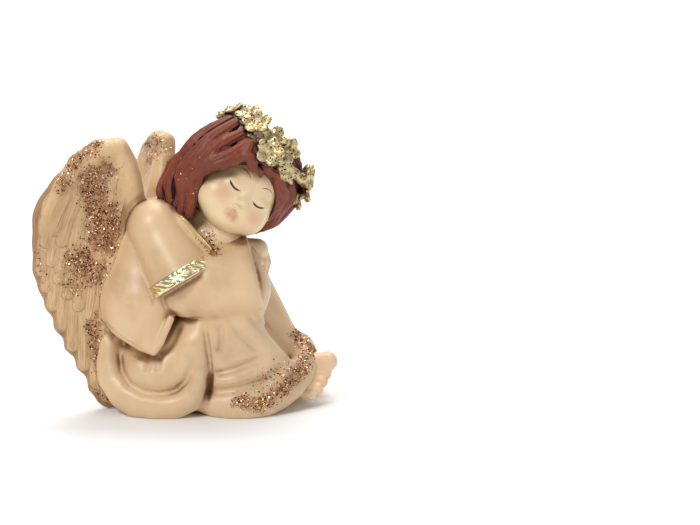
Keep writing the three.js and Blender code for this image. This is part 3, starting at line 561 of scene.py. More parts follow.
back_locks = join(0.6, *(back_lock(i) for i in range(BACK_LOCKS)))
hair = join(0.7, hollow(1, cap, face_opening), left_locks, right_locks, back_locks)
print("locks at the back:", BACK_LOCKS)

# %% [markdown]
# ## The garland
# A ring of twig runs round the head. Five-petalled flowers sit on it, turned outwards, with small leaves
# between them. One function makes a flower at any angle round the ring.

# %% Flowers, leaves and twig
PETALS = 5
# cosine and sine of the petals' lean, 28 degrees
PETAL_LIE, PETAL_RISE = 0.88, 0.47


def flower(angle, up, size, out=17.0, nod=0.5):
    a = math.radians(angle)
    outward = head_face * math.cos(a) + head_right * math.sin(a)
    axis = outward * math.cos(nod) + head_up * math.sin(nod)
    rise = head_up * math.cos(nod) - outward * math.sin(nod)
    across = head_right * math.cos(a) - head_face * math.sin(a)
    centre = HEAD + head_up * up + outward * out
    petals = []
    for k in range(PETALS):
        b = k / PETALS * 2 * math.pi + a
        ray = rise * math.cos(b) + across * math.sin(b)
        aside = across * math.cos(b) - rise * math.sin(b)
        lifted = [ray * PETAL_LIE + axis * PETAL_RISE, aside, axis * PETAL_LIE - ray * PETAL_RISE]
        middle = centre + ray * size * 0.56 + axis * 0.7
        petals.append(ellipsoid(middle, (size * 0.5, size * 0.42, 0.9), lifted))
    return join(0.5, ellipsoid(centre, (size * 0.3, size * 0.3, 1.3), [rise, across, axis]), *petals)


def on_ring(angle, radius, up):
    a = math.radians(angle)
    return on_head(math.sin(a) * radius, up, math.cos(a) * radius * 0.963)


def leaf(a, b, width):
    return mass(0.5, (a, 0.8), ((a + b) / 2, width), (b, 0.6))


twig = mass(1, *((on_ring(i * 15, 15.8, 14.8), 1.5) for i in range(25)))
front_flowers = [
    flower(-96, 17, 4.6), flower(-70, 19.5, 4.2, 15), flower(-48, 19, 5, 15.5), flower(-18, 18.3, 5, 15),
    flower(4, 18.8, 4.4, 13), flower(-14, 14.8, 4.8, 17.5, 0.2), flower(56, 16.5, 4, 15.5),
    flower(76, 13.4, 4.8, 17), flower(80, 9, 3.8, 17)]
back_flowers = [flower(108 + i * 28.5, 16.5 - i % 2, 4.2) for i in range(6)]
leaves = [leaf(on_head(2, 13.2, 15.8), on_head(9, 11.8, 13.2), 1.8),
          leaf(on_head(15, 10, 5), on_head(15.5, 5.5, 4), 1.6),
          *(leaf(on_ring(95 + i * 25, 16, 14.5), on_ring(109 + i * 25, 16.6, 12.4), 1.4) for i in range(9))]
garland = join(0.6, twig, *front_flowers, *back_flowers, *leaves)
print("flowers:", len(front_flowers) + len(back_flowers), "leaves:", len(leaves))

# %% [markdown]
# ## The wings
# A wing is a bent sheet. Its outline is the union of tapered feather strokes, its face rises a little at
# each feather, and a thick rolled arm runs along the leading edge. The same function makes both wings.

# %% Feathers of one wing
TRUNK_TURN = math.radians(24)
WING_SPREAD = math.radians(45)
chest = vec(math.cos(TRUNK_TURN), -math.sin(TRUNK_TURN))
flank = vec(math.sin(TRUNK_TURN), math.cos(TRUNK_TURN))
# a row: count, first quill, last quill, root and tip radius, lift above the row below, line of tips
FEATHER_ROWS = [
    (11, (32, 66), (8, 50), (3.4, 2.6), 0,
     [(34.3, 49), (31.6, 39.5), (26.8, 27.5), (20.4, 16), (13.6, 5), (10.5, 4), (6, 8)]),
    (8, (31, 70), (6, 66), (3.6, 2.4), 0.75, [(33, 58), (29.5, 47), (24, 38), (17, 32), (9, 30)]),
    (7, (28, 76), (6, 76), (3.4, 2.6), 1.5, [(32, 66), (27.5, 58), (20, 51), (11, 48)]),
]
# the arm: out from the back, up, and radius
WING_ARM = [(0.5, 60, 4), (3.5, 72, 3.6), (6.5, 82, 3.6), (9.5, 87, 3.8), (15.5, 86.8, 3.8), (22.5, 83, 3.5),
            (27, 76.5, 3.2), (30.8, 70, 2.8), (32.8, 62, 2.2)]
Feather = namedtuple("Feather", "quill along radii lift")


def feather_list():
    made = []
    for count, first, last, radii, lift, tips in FEATHER_ROWS:
        shares = np.linspace(0, 1, count)
        for t, tip in zip(shares, smooth_curve(tips, shares)):
            quill = np.array(first) * (1 - t) + np.array(last) * t
            made.append(Feather(quill, tip - quill, radii, lift))
    return made


FEATHERS = feather_list()


def on_stroke(out, up, start, along):
    """Flat distance to a straight stroke, and the share of the stroke where it is nearest."""
    length2 = along[0] ** 2 + along[1] ** 2
    t = np.clip(((out - start[0]) * along[0] + (up - start[1]) * along[1]) / length2, 0, 1)
    return np.hypot(out - start[0] - t * along[0], up - start[1] - t * along[1]), t


print("feathers on a wing:", len(FEATHERS))

# %% Wing shapes
TIP_BLEND = 5.0
FEATHER_CROWN = 0.8
SHAFT_HEIGHT, SHAFT_WIDTH = 0.22, 0.35
SHEET_HALF = 1.05
RELIEF_SHARE = 0.8
WING_REACH = 8.0
# each wing: its root, its side and its size beside the near wing's
WING_PLACES = {"near_wing": ((-13.6, -6, 55.7), -1, 1), "far_wing": ((-8.9, 6, 53.1), 1, 0.962)}


def wing_span(side):
    return -chest * math.cos(WING_SPREAD) + flank * side * math.sin(WING_SPREAD)


def wing_place(p, root, side, scale):
    """Where a place lies on a wing: out from the back, up, and off the bent sheet."""
    front = chest * math.sin(WING_SPREAD) + flank * side * math.cos(WING_SPREAD)
    flat = p[:, :2] - vec(*root[:2])
    out = flat @ wing_span(side)
    up = p[:, 2] / scale
    bend = 6.5 * ramp(62, 90, up) + 2.2 * ramp(18, 38, out) - 1.5
    return out, up, flat @ front - bend


def feather_relief(out, up):
    edge = (np.hypot((out - 14.5) / 14, (up - 62) / 24) - 1) * 14
    relief = np.zeros(len(out), F32)
    for quill, along, radii, lift in FEATHERS:
        gap, t = on_stroke(out, up, quill, along)
        radius = radii[0] + (radii[1] - radii[0]) * t
        edge = soft_min(edge, gap - radius, TIP_BLEND)
        shaft = SHAFT_HEIGHT * np.exp(-((gap / SHAFT_WIDTH) ** 2))
        crown = lift + FEATHER_CROWN * np.sqrt(np.maximum(1 - (gap / radius) ** 2, 0)) + shaft
        relief = np.where(gap < radius, np.maximum(relief, crown * ramp(-0.02, 0.25, t)), relief)
    return edge, relief


def arm_distance(out, up, off):
    arm = np.full(len(out), 1e3, F32)
    for a, b in zip(WING_ARM, WING_ARM[1:]):
        gap, t = on_stroke(out, up, a[:2], (b[0] - a[0], b[1] - a[1]))
        arm = np.minimum(arm, np.hypot(gap, off) - (a[2] + (b[2] - a[2]) * t))
    return arm


def wing(root, side, scale):
    def distance(p):
        out, up, off = wing_place(p, root, side, scale)
        d = np.abs(off) - 4
        near = np.flatnonzero(np.abs(off) < WING_REACH)
        out, up, off = out[near], up[near], off[near]
        edge, relief = feather_relief(out, up)
        arm = arm_distance(out, up, off)
        sheet = -soft_min(-edge, SHEET_HALF + RELIEF_SHARE * relief - np.abs(off), 1)
        d[near] = soft_min(arm, sheet, 1.6)
        return d

    span = wing_span(side)
    return Shape(distance, vec(root[0] + span[0] * 16, root[1] + span[1] * 16, 46), 54)


near_wing, far_wing = (wing(*place) for place in WING_PLACES.values())
print("wing roots:", [root for root, _, _ in WING_PLACES.values()])

# %% [markdown]
# ## From distances to meshes
# The casting is one piece, but each paint gets a mesh of its own. A mesh follows the common skin as far
# as its own paint reaches, then dives under its neighbour and closes. So the paint line is crisp, no gap
# shows, and every mesh is closed.

# %% One skin, several paints
PAINTED = {
    "robe": clothes,
    "near_wing": near_wing,
    "far_wing": far_wing,
    "cuff_band": cuff_band,
    "hand": hand,
    "feet": feet,
    "face": head_and_neck,
    "hair": hair,
    "garland": garland,
}
ORDER = list(PAINTED)
FAR_OFF = 4.0
WING_BLEND = 2.5
BLEND = 0.8
# a paint's mesh starts to sink SEAM_START before its border, by SEAM_SLOPE, and is closed where a neighbour
# is nearer by SEAM_END
SEAM_START = 0.1
SEAM_SLOPE = 0.5
SEAM_END = 0.8


def distances(p):
    rows = np.empty((len(ORDER), len(p)), F32)
    for row, shape in zip(rows, PAINTED.values()):
        row[:] = outside(shape, p)
        near = np.flatnonzero(row < FAR_OFF)
        if len(near):
            row[near] = shape.distance(p[near])
    return rows


def blended(rows):
    whole = rows[0]
    for name, row in zip(ORDER[1:], rows[1:]):
        whole = soft_min(whole, row, WING_BLEND if name in WING_PLACES else BLEND)
    return whole


def painted_part(name):
    """The field of one paint's mesh; it also tells how far past the border to the other paints a place is."""
    n = ORDER.index(name)

    def field(p):
        rows = distances(p)
        past_seam = rows[n] - np.delete(rows, n, 0).min(0)
        sunk = SEAM_SLOPE * np.maximum(past_seam + SEAM_START, 0)
        part = np.maximum(blended(rows) + sunk, past_seam - SEAM_END)
        return np.maximum(part, -p[:, 2]), past_seam

    return field


print("paints:", ", ".join(ORDER))

# %% [markdown]
# The skin is found on a grid that is fine only near it. Big cells are split into eight again and again,
# and only those that the skin can cross are kept. Then each crossed cell gets one corner, at the middle
# of its crossings, and each crossed grid edge gets one four-sided face.

# %% Cells near the skin
OCTANT = np.array([(i, j, k) for i in (0, 1) for j in (0, 1) for k in (0, 1)])
SPLITS = 3
HALF_DIAGONAL = 0.87
# how fast the field may change near a paint line, and elsewhere
STEEP, GENTLE = 2.1, 1.3
GRID_SHIFT = 0.37
BATCH = 250_000
# a place in the grid is kept as one whole number, with BITS bits for each direction
BITS = 11
LAST_PLACE = (1 << BITS) - 1
KEY = np.array((1 << 2 * BITS, 1 << BITS, 1))


def cells_near_skin(field, low, counts, cell):
    cells = np.argwhere(np.ones(counts, bool))
    for level in range(SPLITS, 0, -1):
        size = cell * 2**level
        value, past_seam = field((low + (cells + 0.5) * size).astype(F32))
        steep = np.where(past_seam > -1.8 * size - 0.2, STEEP, GENTLE)
        cells = cells[np.abs(value) < HALF_DIAGONAL * size * steep]
        cells = (cells[:, None] * 2 + OCTANT).reshape(-1, 3)
    return cells


def in_batches(work, p):
    return np.concatenate([work(p[i:i + BATCH]) for i in range(0, len(p), BATCH)])


def crossed_cells(field, low, cell, cells):
    """Those of the cells that the skin crosses, with the field at their eight corners."""
    grid_keys = ((cells[:, None] + OCTANT) @ KEY).ravel()
    unique, slots = np.unique(grid_keys, return_inverse=True)
    places = np.stack([unique >> 2 * BITS, (unique >> BITS) & LAST_PLACE, unique & LAST_PLACE], 1)
    values = in_batches(lambda p: field(p)[0], (low + places * cell).astype(F32))
    at = values[slots].reshape(-1, 8)
    crossed = (at.min(1) < 0) & (at.max(1) >= 0)
    return cells[crossed], at[crossed]


def missed_neighbours(cells, at):
    """Cells that the skin runs on into, but that the search left out because the skin is steep there."""
    wanted = []
    for axis in range(3):
        for side in (0, 1):
            rim = at[:, OCTANT[:, axis] == side] < 0
            step = (2 * side - 1) * np.eye(3, dtype=int)[axis]
            wanted.append(cells[rim.any(1) & ~rim.all(1)] + step)
    wanted = np.unique(np.concatenate(wanted), axis=0)
    return wanted[~np.isin(wanted @ KEY, cells @ KEY)]


print("each big cell is split up to", SPLITS, "times, into", len(OCTANT), "smaller ones")


# %% Corners and faces of the mesh
def crossing_middles(cells, at):
    total = np.zeros((len(cells), 3))
    count = np.zeros(len(cells))
    for a in range(8):
        for b in range(a + 1, 8):
            if np.abs(OCTANT[a] - OCTANT[b]).sum() != 1:
                continue
            cut = (at[:, a] < 0) != (at[:, b] < 0)
            share = at[cut, a] / (at[cut, a] - at[cut, b])
            total[cut] += OCTANT[a] + share[:, None] * (OCTANT[b] - OCTANT[a])
            count[cut] += 1
    return cells + total / count[:, None]


def crossed_faces(cells, at):
    keys = cells @ KEY
    order = np.argsort(keys)
    keys_sorted = keys[order]
    faces = []
    for axis in range(3):
        unit = np.eye(3, dtype=int)
        end = OCTANT.tolist().index(unit[axis].tolist())
        start_in, end_in = at[:, 0] < 0, at[:, end] < 0
        cut = np.flatnonzero(start_in != end_in)
        one, two = unit[(axis + 1) % 3], unit[(axis + 2) % 3]
        ring = np.stack([cells[cut] - one - two, cells[cut] - two, cells[cut], cells[cut] - one], 1) @ KEY
        found = np.minimum(np.searchsorted(keys_sorted, ring), len(keys) - 1)
        whole = (keys_sorted[found] == ring).all(1)
        quads = order[found[whole]]
        faces.append(np.where(start_in[cut][whole][:, None], quads, quads[:, ::-1]))
    return np.concatenate(faces)


half_way = np.where(OCTANT[:, 2] == 0, -1.0, 1.0)[None]
print("a skin half way up a cell has its corner at", crossing_middles(np.zeros((1, 3), int), half_way)[0])


# %% The whole mesh
def skin_mesh(field, low, high, cell):
    """Corners and four-sided faces of a field's zero level."""
    low = np.array(low, float) - (2**SPLITS + GRID_SHIFT) * cell
    counts = np.ceil((np.array(high) - low) / (cell * 2**SPLITS)).astype(int) + 1
    cells, at = crossed_cells(field, low, cell, cells_near_skin(field, low, counts, cell))
    more = missed_neighbours(cells, at)
    while len(more):
        more, at_more = crossed_cells(field, low, cell, more)
        cells, at = np.concatenate([cells, more]), np.concatenate([at, at_more])
        more = missed_neighbours(cells, at)
    return (low + crossing_middles(cells, at) * cell), crossed_faces(cells, at)


def open_edges(faces):
    """How many edges don't have a face on both sides; none is left open on a closed mesh."""
    there = np.concatenate([faces[:, i] * (1 << 32) + faces[:, (i + 1) % 4] for i in range(4)])
    back = np.concatenate([faces[:, (i + 1) % 4] * (1 << 32) + faces[:, i] for i in range(4)])
    return int((~np.isin(there, back)).sum())


def test_ball(p):
    return length(p) - 3, np.full(len(p), -FAR_OFF, F32)


print("open edges of a ball:", open_edges(skin_mesh(test_ball, (-4, -4, -4), (4, 4, 4), 0.5)[1]))

# %% Carve every part
CELLS = {"robe": 0.53, "near_wing": 0.37, "far_wing": 0.37, "cuff_band": 0.24, "hand": 0.26, "feet": 0.26,
         "face": 0.25, "hair": 0.355, "garland": 0.26}
COARSE = 1.0
BLOCK_LOW, BLOCK_HIGH = (-56, -48, -1.2), (56, 62, 104)
carved = {}
for name, shape in PAINTED.items():
    started = time.time()
    low = np.maximum(shape.centre - shape.radius - 1, BLOCK_LOW)
    high = np.minimum(shape.centre + shape.radius + 1, BLOCK_HIGH)
    carved[name] = skin_mesh(painted_part(name), low, high, CELLS[name] * COARSE)
    faces = carved[name][1]
    spent = time.time() - started
    print(f"{name}: {2 * len(faces)} triangles, {open_edges(faces)} open edges, {spent:.1f} s")

# %% [markdown]
# ## Into the frame
# The frame's box gives the true height and the middle in plan. The carved parts are scaled by the height
# and centred once, and from here on everything is in metres.

# %% Scale and centre
lowest = np.min([corners.min(0) for corners, _ in carved.values()], axis=0)
highest = np.max([corners.max(0) for corners, _ in carved.values()], axis=0)
box_low, box_high = np.array(CAD_BOX[0]), np.array(CAD_BOX[1])
METRES = (box_high[2] - box_low[2]) / highest[2]
MIDDLE = np.array([(lowest[0] + highest[0]) / 2, (lowest[1] + highest[1]) / 2, 0])
BOX_MIDDLE = np.array([(box_low[0] + box_high[0]) / 2, (box_low[1] + box_high[1]) / 2, box_low[2]])


def to_metres(p):
    return (np.asarray(p) - MIDDLE) * METRES + BOX_MIDDLE


print("one hundredth is", round(1000 * METRES, 3), "mm; box in hundredths", (highest - lowest).round(1))

# %% [markdown]
# A Blender mesh is filled from two lists, its corners and its faces. What the paint needs to know about a
# place is kept with the corners, one number for each, so that a material can read it by name.


# %% Objects, meshes and marks
def new_object(name, data):
    piece = bpy.data.objects.new(name, data)
    bpy.context.scene.collection.objects.link(piece)
    return piece


def mesh_from(name, corners, faces):
    mesh = bpy.data.meshes.new(name)
    mesh.vertices.add(len(corners))
    mesh.vertices.foreach_set("co", corners.astype(F32).ravel())
    mesh.loops.add(faces.size)
    mesh.loops.foreach_set("vertex_index", faces.ravel().astype(np.int32))
    mesh.polygons.add(len(faces))
    mesh.polygons.foreach_set("loop_start", np.arange(0, faces.size, faces.shape[1], dtype=np.int32))
    mesh.polygons.foreach_set("use_smooth", np.ones(len(faces), bool))
    mesh.update(calc_edges=True)
    mesh.validate()
    return mesh


def attribute(mesh, name, values):
    mesh.attributes.new(name, "FLOAT", "POINT").data.foreach_set("value", np.asarray(values, F32))


print("corners to fill:", sum(len(corners) for corners, _ in carved.values()))

# %% [markdown]
# ## Where paint gathers, and where shade is painted
# Thin brown paint is brushed on and wiped off, so it stays in the hollows. The skin itself says where:
# a step outwards from a hollow comes close to the walls again. Two step lengths give fine creases, which
# hold the brown wash, and wide folds, which get painted shade. The same pass marks the places of blush,
# painted lines and glitter.

# %% Hollows
FINE_STEP = 0.9
# the wide step marks wide folds, which the paints darken with painted shade
FOLD_SHADE_STEP = 3.2


def hollowness(corners, normals, step):
    ahead = in_batches(lambda p: blended(distances(p)), (corners + normals * step).astype(F32))
    return np.clip(1 - ahead / step, 0, 1)


print("steps outwards:", FINE_STEP, "for creases and", FOLD_SHADE_STEP, "for folds")

# %% Glitter patches and painted lines
# each patch: strength, half width, then marks across and up as seen from the front
GLITTER_PATCHES = {
    "near_wing": [
        (1.0, 5.6, [(-28.6, 77), (-27.4, 58)]),
        (1.0, 4.8, [(-24.2, 67), (-24.4, 57)]),
        (0.9, 6.6, [(-33, 51), (-29.5, 47.5)]),
        (0.5, 4.4, [(-37.5, 44.5), (-34.5, 42)]),
        (0.75, 3.6, [(-27.8, 88.7), (-33.5, 83), (-38.3, 75)]),
        (0.45, 3.4, [(-25, 83), (-22.5, 79)]),
        (0.4, 1.8, [(-46.5, 55), (-44.8, 42)]),
        (0.95, 2.9, [(-30.2, 30), (-28.5, 20), (-24.5, 7)]),
        (0.5, 3.4, [(-31, 9.5), (-24, 3.5)]),
        (0.5, 1.6, [(-28.1, 34), (-27.9, 27)]),
    ],
    "far_wing": [(0.6, 5.6, [(-14.5, 90), (-9.5, 89)])],
    "robe": [
        (1.0, 3.1, [(36.2, 27), (40.2, 21.5), (37.5, 15.5), (32, 9.5), (24, 4.5), (17.5, 6)]),
        (0.4, 6.0, [(31, 14.5), (27, 11)]),
        (0.8, 2.6, [(6.5, 59), (10, 54.5)]),
    ],
    "hair": [(0.10, 7.0, [(2, 82), (0, 74)]), (0.10, 5.0, [(24, 62), (29, 66)])],
    "face": [(0.8, 3.0, [(7.5, 59), (10.5, 55)])],
}
SPREAD = 1.35
LASH = [(2.5, -0.45), (3.7, -1.0), (5.0, -1.05), (6.5, -0.55), (7.7, 0.35)]
BROW = [(2.2, 4.2), (3.6, 5.2), (5.3, 5.6), (6.9, 5.1)]


def glitter_mask(name, corners, normals):
    across, up = seen(corners)
    mask = np.zeros(len(corners), F32)
    for strength, reach, marks in GLITTER_PATCHES.get(name, []):
        gap, _ = chain_distance(across, up, np.array(marks, float))
        mask = np.maximum(mask, strength * ramp(SPREAD * reach, 0.1 * reach, gap))
    ripple = 0.25 * np.sin(across * 0.9 + 1.7 * np.sin(up * 0.5))
    clumps = 0.75 + ripple * np.sin(up * 0.8 + 1.3 * np.sin(across * 0.6))
    return mask * clumps * ramp(0.0, 0.25, normals @ to_front)


def signed_line(right, up, marks):
    """Signed distance across a painted line, mirrored to both sides, and its taper towards the ends."""
    marks = evenly(marks, 8)
    across = np.abs(right)
    gap, where = chain_distance(across, up, marks)
    middle = np.interp(across, marks[:, 0], marks[:, 1])
    taper = np.minimum(1, 4 * np.minimum(where, 1 - where))
    return np.where(up > middle, gap, -gap), taper


print("patches of glitter:", sum(len(patches) for patches in GLITTER_PATCHES.values()))


# %% Marks on the face and the feathers
def mark_face(corners, mesh):
    right, up, ahead = in_head(corners)
    front = ramp(4, 8, ahead)
    blush = np.exp(-(((np.abs(right) - 6.3) / 2.7) ** 2) - ((up + 4.8) / 2.6) ** 2)
    lip = np.exp(-((right / 2.3) ** 4) - ((up + 8.4) / 1.25) ** 4)
    attribute(mesh, "blush", blush * front)
    attribute(mesh, "lip", lip * front)
    for line, marks in (("lash", LASH), ("brow", BROW)):
        across, taper = signed_line(right, up, marks)
        attribute(mesh, line + "_across", across)
        attribute(mesh, line + "_taper", taper * front)


def mark_feathers(corners, mesh, place):
    """The topmost feather at each corner: distance across it and along it, and how near its border is."""
    out, up, _ = wing_place(corners, *place)
    top = np.full(len(corners), -1e3, F32)
    barb, run, border = (np.zeros(len(corners), F32) for _ in range(3))
    for quill, along, radii, lift in FEATHERS:
        gap, t = on_stroke(out, up, quill, along)
        share = gap / (radii[0] + (radii[1] - radii[0]) * t)
        crown = (lift + FEATHER_CROWN * np.sqrt(np.maximum(1 - share**2, 0))) * ramp(-0.02, 0.25, t)
        height = np.where(share < 1, crown, -share)
        side = np.sign((out - quill[0]) * along[1] - (up - quill[1]) * along[0])
        higher = height > top
        top = np.where(higher, height, top)
        barb = np.where(higher, side * gap, barb)
        run = np.where(higher, t * np.hypot(*along) + 7 * quill[0], run)
        border = np.where(higher, np.minimum(share, 1), border)
    off_arm = ramp(-0.8, 0.8, arm_distance(out, up, np.zeros_like(out)))
    attribute(mesh, "barb", barb)
    attribute(mesh, "run", run)
    # the border mark places painted shade along the feather edges
    attribute(mesh, "border", border * off_arm)
    attribute(mesh, "vane", off_arm)


print("places on a lash line:", len(LASH), "and on a brow:", len(BROW))


# %% Mark every part
def mark_part(name, corners, mesh):
    normals = np.empty(len(corners) * 3, F32)
    mesh.vertices.foreach_get("normal", normals)
    normals = normals.reshape(-1, 3)
    attribute(mesh, "crease", hollowness(corners, normals, FINE_STEP))
    # the fold mark: wide folds, where the paints put painted shade
    attribute(mesh, "fold", hollowness(corners, normals, FOLD_SHADE_STEP))
    attribute(mesh, "glitter", glitter_mask(name, corners, normals))
    if name == "face":
        mark_face(corners, mesh)
    if name in WING_PLACES:
        mark_feathers(corners, mesh, WING_PLACES[name])
    if name == "feet":
        attribute(mesh, "blush", 0.55 * ramp(38, 45, corners[:, 0]))
    if name == "hand":
        attribute(mesh, "blush", 0.5 * ramp(49, 44, corners[:, 2]))


parts = {}
for name, (corners, faces) in carved.items():
    mesh = mesh_from(name, to_metres(corners), faces)
    mark_part(name, corners.astype(F32), mesh)
    parts[name] = new_object(name, mesh)
print("parts:", {name: len(piece.data.vertices) for name, piece in parts.items()})

# %% [markdown]
# ## Node helpers
# Every paint is built from nodes. A small helper adds a node, sets its values and links its inputs, so
# that a material reads like a recipe.


# %% Short words for nodes
def linear(level):
    return level / 255 / 12.92 if level < 10.3 else ((level / 255 + 0.055) / 1.055) ** 2.4


def paint(red, green, blue):
    """A screen colour of 0 to 255 as the linear colour that Blender mixes."""
    return linear(red), linear(green), linear(blue), 1


class Recipe:
    """Adds nodes to a tree. Inputs go by name, or by number as i0, i1; a socket is linked, a value is set."""

    def __init__(self, tree):
        self.tree = tree

    def add(self, kind, settings=None, **inputs):
        node = self.tree.nodes.new(kind)
        for key, value in (settings or {}).items():
            setattr(node, key, value)
        for key, value in inputs.items():
            socket = node.inputs[int(key[1:]) if key[1:].isdigit() else key.replace("_", " ")]
            if isinstance(value, bpy.types.NodeSocket):
                self.tree.links.new(value, socket)
            else:
                socket.default_value = value
        return node

    def math(self, operation, a, b=0.0):
        return self.add("ShaderNodeMath", {"operation": operation}, i0=a, i1=b).outputs[0]

    def ragged(self, value, noise, amount):
        """The value, raised and lowered by noise that swings about a half."""
        return self.math("ADD", value, self.math("MULTIPLY", self.math("SUBTRACT", noise, 0.5), amount))

    def mix(self, share, a, b):
        return self.add("ShaderNodeMix", {"data_type": "RGBA"}, i0=share, i6=a, i7=b).outputs[2]

    def ramp(self, value, start, end, low=0.0, high=1.0):
        node = self.add("ShaderNodeMapRange", {"interpolation_type": "SMOOTHSTEP"}, Value=value,
                        From_Min=start, From_Max=end, To_Min=low, To_Max=high)
        return node.outputs[0]

    def attribute(self, name):
        return self.add("ShaderNodeAttribute", {"attribute_name": name}).outputs["Fac"]

    def noise(self, scale, detail=3.0, roughness=0.5, vector=None):
        vector = vector or self.add("ShaderNodeTexCoord").outputs["Object"]
        return self.add("ShaderNodeTexNoise", None, Vector=vector, Scale=scale, Detail=detail,
                        Roughness=roughness).outputs["Fac"]


print("cream paint is", [round(c, 3) for c in paint(232, 205, 165)])


# %% New groups and materials
def new_group(name, inputs, outputs):
    """An empty shader node group with named sockets; returns it with its recipe and both ends."""
    group = bpy.data.node_groups.new(name, "ShaderNodeTree")
    for socket, kind, value in inputs:
        group.interface.new_socket(socket, in_out="INPUT", socket_type=kind).default_value = value
    for socket, kind in outputs:
        group.interface.new_socket(socket, in_out="OUTPUT", socket_type=kind)
    start = group.nodes.new("NodeGroupInput")
    end = group.nodes.new("NodeGroupOutput")
    return group, Recipe(group), start.outputs, end.inputs


def new_material(name):
    material = bpy.data.materials.new(name)
    material.use_nodes = True
    tree = material.node_tree
    return material, Recipe(tree), tree.nodes["Principled BSDF"]


print("node groups so far:", len(bpy.data.node_groups))

# %% [markdown]
# ## The antique wash and painted shade
# One group serves every painted part. It takes the paint, darkens it with brown wash where the crease mark
# is strong and with painted shade where the fold mark is strong, and breaks the edge of both with noise,
# because a brush and a rag never wipe evenly. Noise also rubs some places a little paler.

# %% Wash and painted shade group
wash_and_shade_group, make, given, result = new_group(
    "antique_wash_and_painted_shade",
    [("Paint", "NodeSocketColor", (0.8, 0.6, 0.4, 1)), ("Wash", "NodeSocketColor", (0.2, 0.1, 0.05, 1)),
     ("Rubbed", "NodeSocketColor", (0.9, 0.8, 0.6, 1)), ("Crease", "NodeSocketFloat", 1.0),
     ("Fold", "NodeSocketFloat", 1.0), ("Mottle", "NodeSocketFloat", 0.2)],
    [("Colour", "NodeSocketColor"), ("Wet", "NodeSocketFloat")])
crease = make.attribute("crease")
fold = make.attribute("fold")
brush = make.noise(60.0, 4.0, 0.6)
mottle = make.noise(18.0, 3.0, 0.55)
crease_mask = make.ramp(make.ragged(crease, brush, 0.35), 0.3, 1.0)
# wide folds get painted shade, broken by the mottle noise
fold_shade_mask = make.ramp(make.ragged(fold, mottle, 0.45), 0.28, 0.95)
gathered_wash_and_shade = make.math("ADD", make.math("MULTIPLY", crease_mask, given["Crease"]),
                     make.math("MULTIPLY", fold_shade_mask, given["Fold"]))
thin_film = make.math("MULTIPLY", make.ramp(make.noise(32.0, 4.0, 0.65), 0.42, 0.75), given["Mottle"])
wet = make.math("MINIMUM", make.math("ADD", gathered_wash_and_shade, thin_film), 1.0)
uneven = make.mix(make.ramp(mottle, 0.35, 0.7, 0.0, 0.35), given["Paint"], given["Rubbed"])
make.tree.links.new(make.mix(wet, uneven, given["Wash"]), result["Colour"])
make.tree.links.new(wet, result["Wet"])
print("the wash takes", [socket.name for socket in given if socket.name])

# %% [markdown]
# The cast surface is never quite smooth, and its varnish isn't evenly glossy. A second group gives each
# paint its grain, as a bump, and its gloss, which noise makes a little patchy.

# %% Cast surface group
surface_group, make, given, result = new_group(
    "cast_surface",
    [("Grain", "NodeSocketFloat", 0.1), ("Scale", "NodeSocketFloat", 900.0),
     ("Gloss", "NodeSocketFloat", 0.4)],
    [("Roughness", "NodeSocketFloat"), ("Normal", "NodeSocketVector")])
coords = make.add("ShaderNodeTexCoord").outputs["Object"]
fine = make.add("ShaderNodeTexNoise", None, Vector=coords, Scale=given["Scale"], Detail=3.0).outputs["Fac"]
patchy = make.noise(70.0, 3.0, 0.6)
bump = make.add("ShaderNodeBump", None, Strength=given["Grain"], Distance=0.0002, Height=fine)
rough = make.ragged(given["Gloss"], patchy, 0.25)
make.tree.links.new(bump.outputs[0], result["Normal"])
make.tree.links.new(rough, result["Roughness"])
print("shared groups:", [group.name for group in bpy.data.node_groups])


# %% Paints for cloth and wings
def use_group(make, group, **inputs):
    return make.add("ShaderNodeGroup", {"node_tree": group}, **inputs).outputs


def finish_paint(make, shader, colour, rough, normal, coat=0.25, subsurface=0.0):
    make.tree.links.new(colour, shader.inputs["Base Color"])
    make.tree.links.new(rough, shader.inputs["Roughness"])
    make.tree.links.new(normal, shader.inputs["Normal"])
    shader.inputs["Coat Weight"].default_value = coat
    shader.inputs["Coat Roughness"].default_value = 0.3
    shader.inputs["Subsurface Weight"].default_value = subsurface
    shader.inputs["Subsurface Radius"].default_value = (0.004, 0.002, 0.001)
    shader.inputs["Subsurface Scale"].default_value = 0.5


def robe_paint():
    material, make, shader = new_material("cream_robe_paint")
    # brown wash in the creases and painted shade in the wide folds of the robe
    wash_and_shade = use_group(make, wash_and_shade_group, Paint=paint(219, 186, 144), Wash=paint(128, 82, 46),
                     Rubbed=paint(234, 208, 172), Crease=0.08, Fold=0.72, Mottle=0.3)
    surface = use_group(make, surface_group, Grain=0.12, Scale=700.0, Gloss=0.42)
    glitter = make.ramp(make.attribute("glitter"), 0.08, 0.8, 0.0, 0.75)
    colour = make.mix(glitter, wash_and_shade["Colour"], paint(154, 104, 66))
    finish_paint(make, shader, colour, surface["Roughness"], surface["Normal"])
    return material


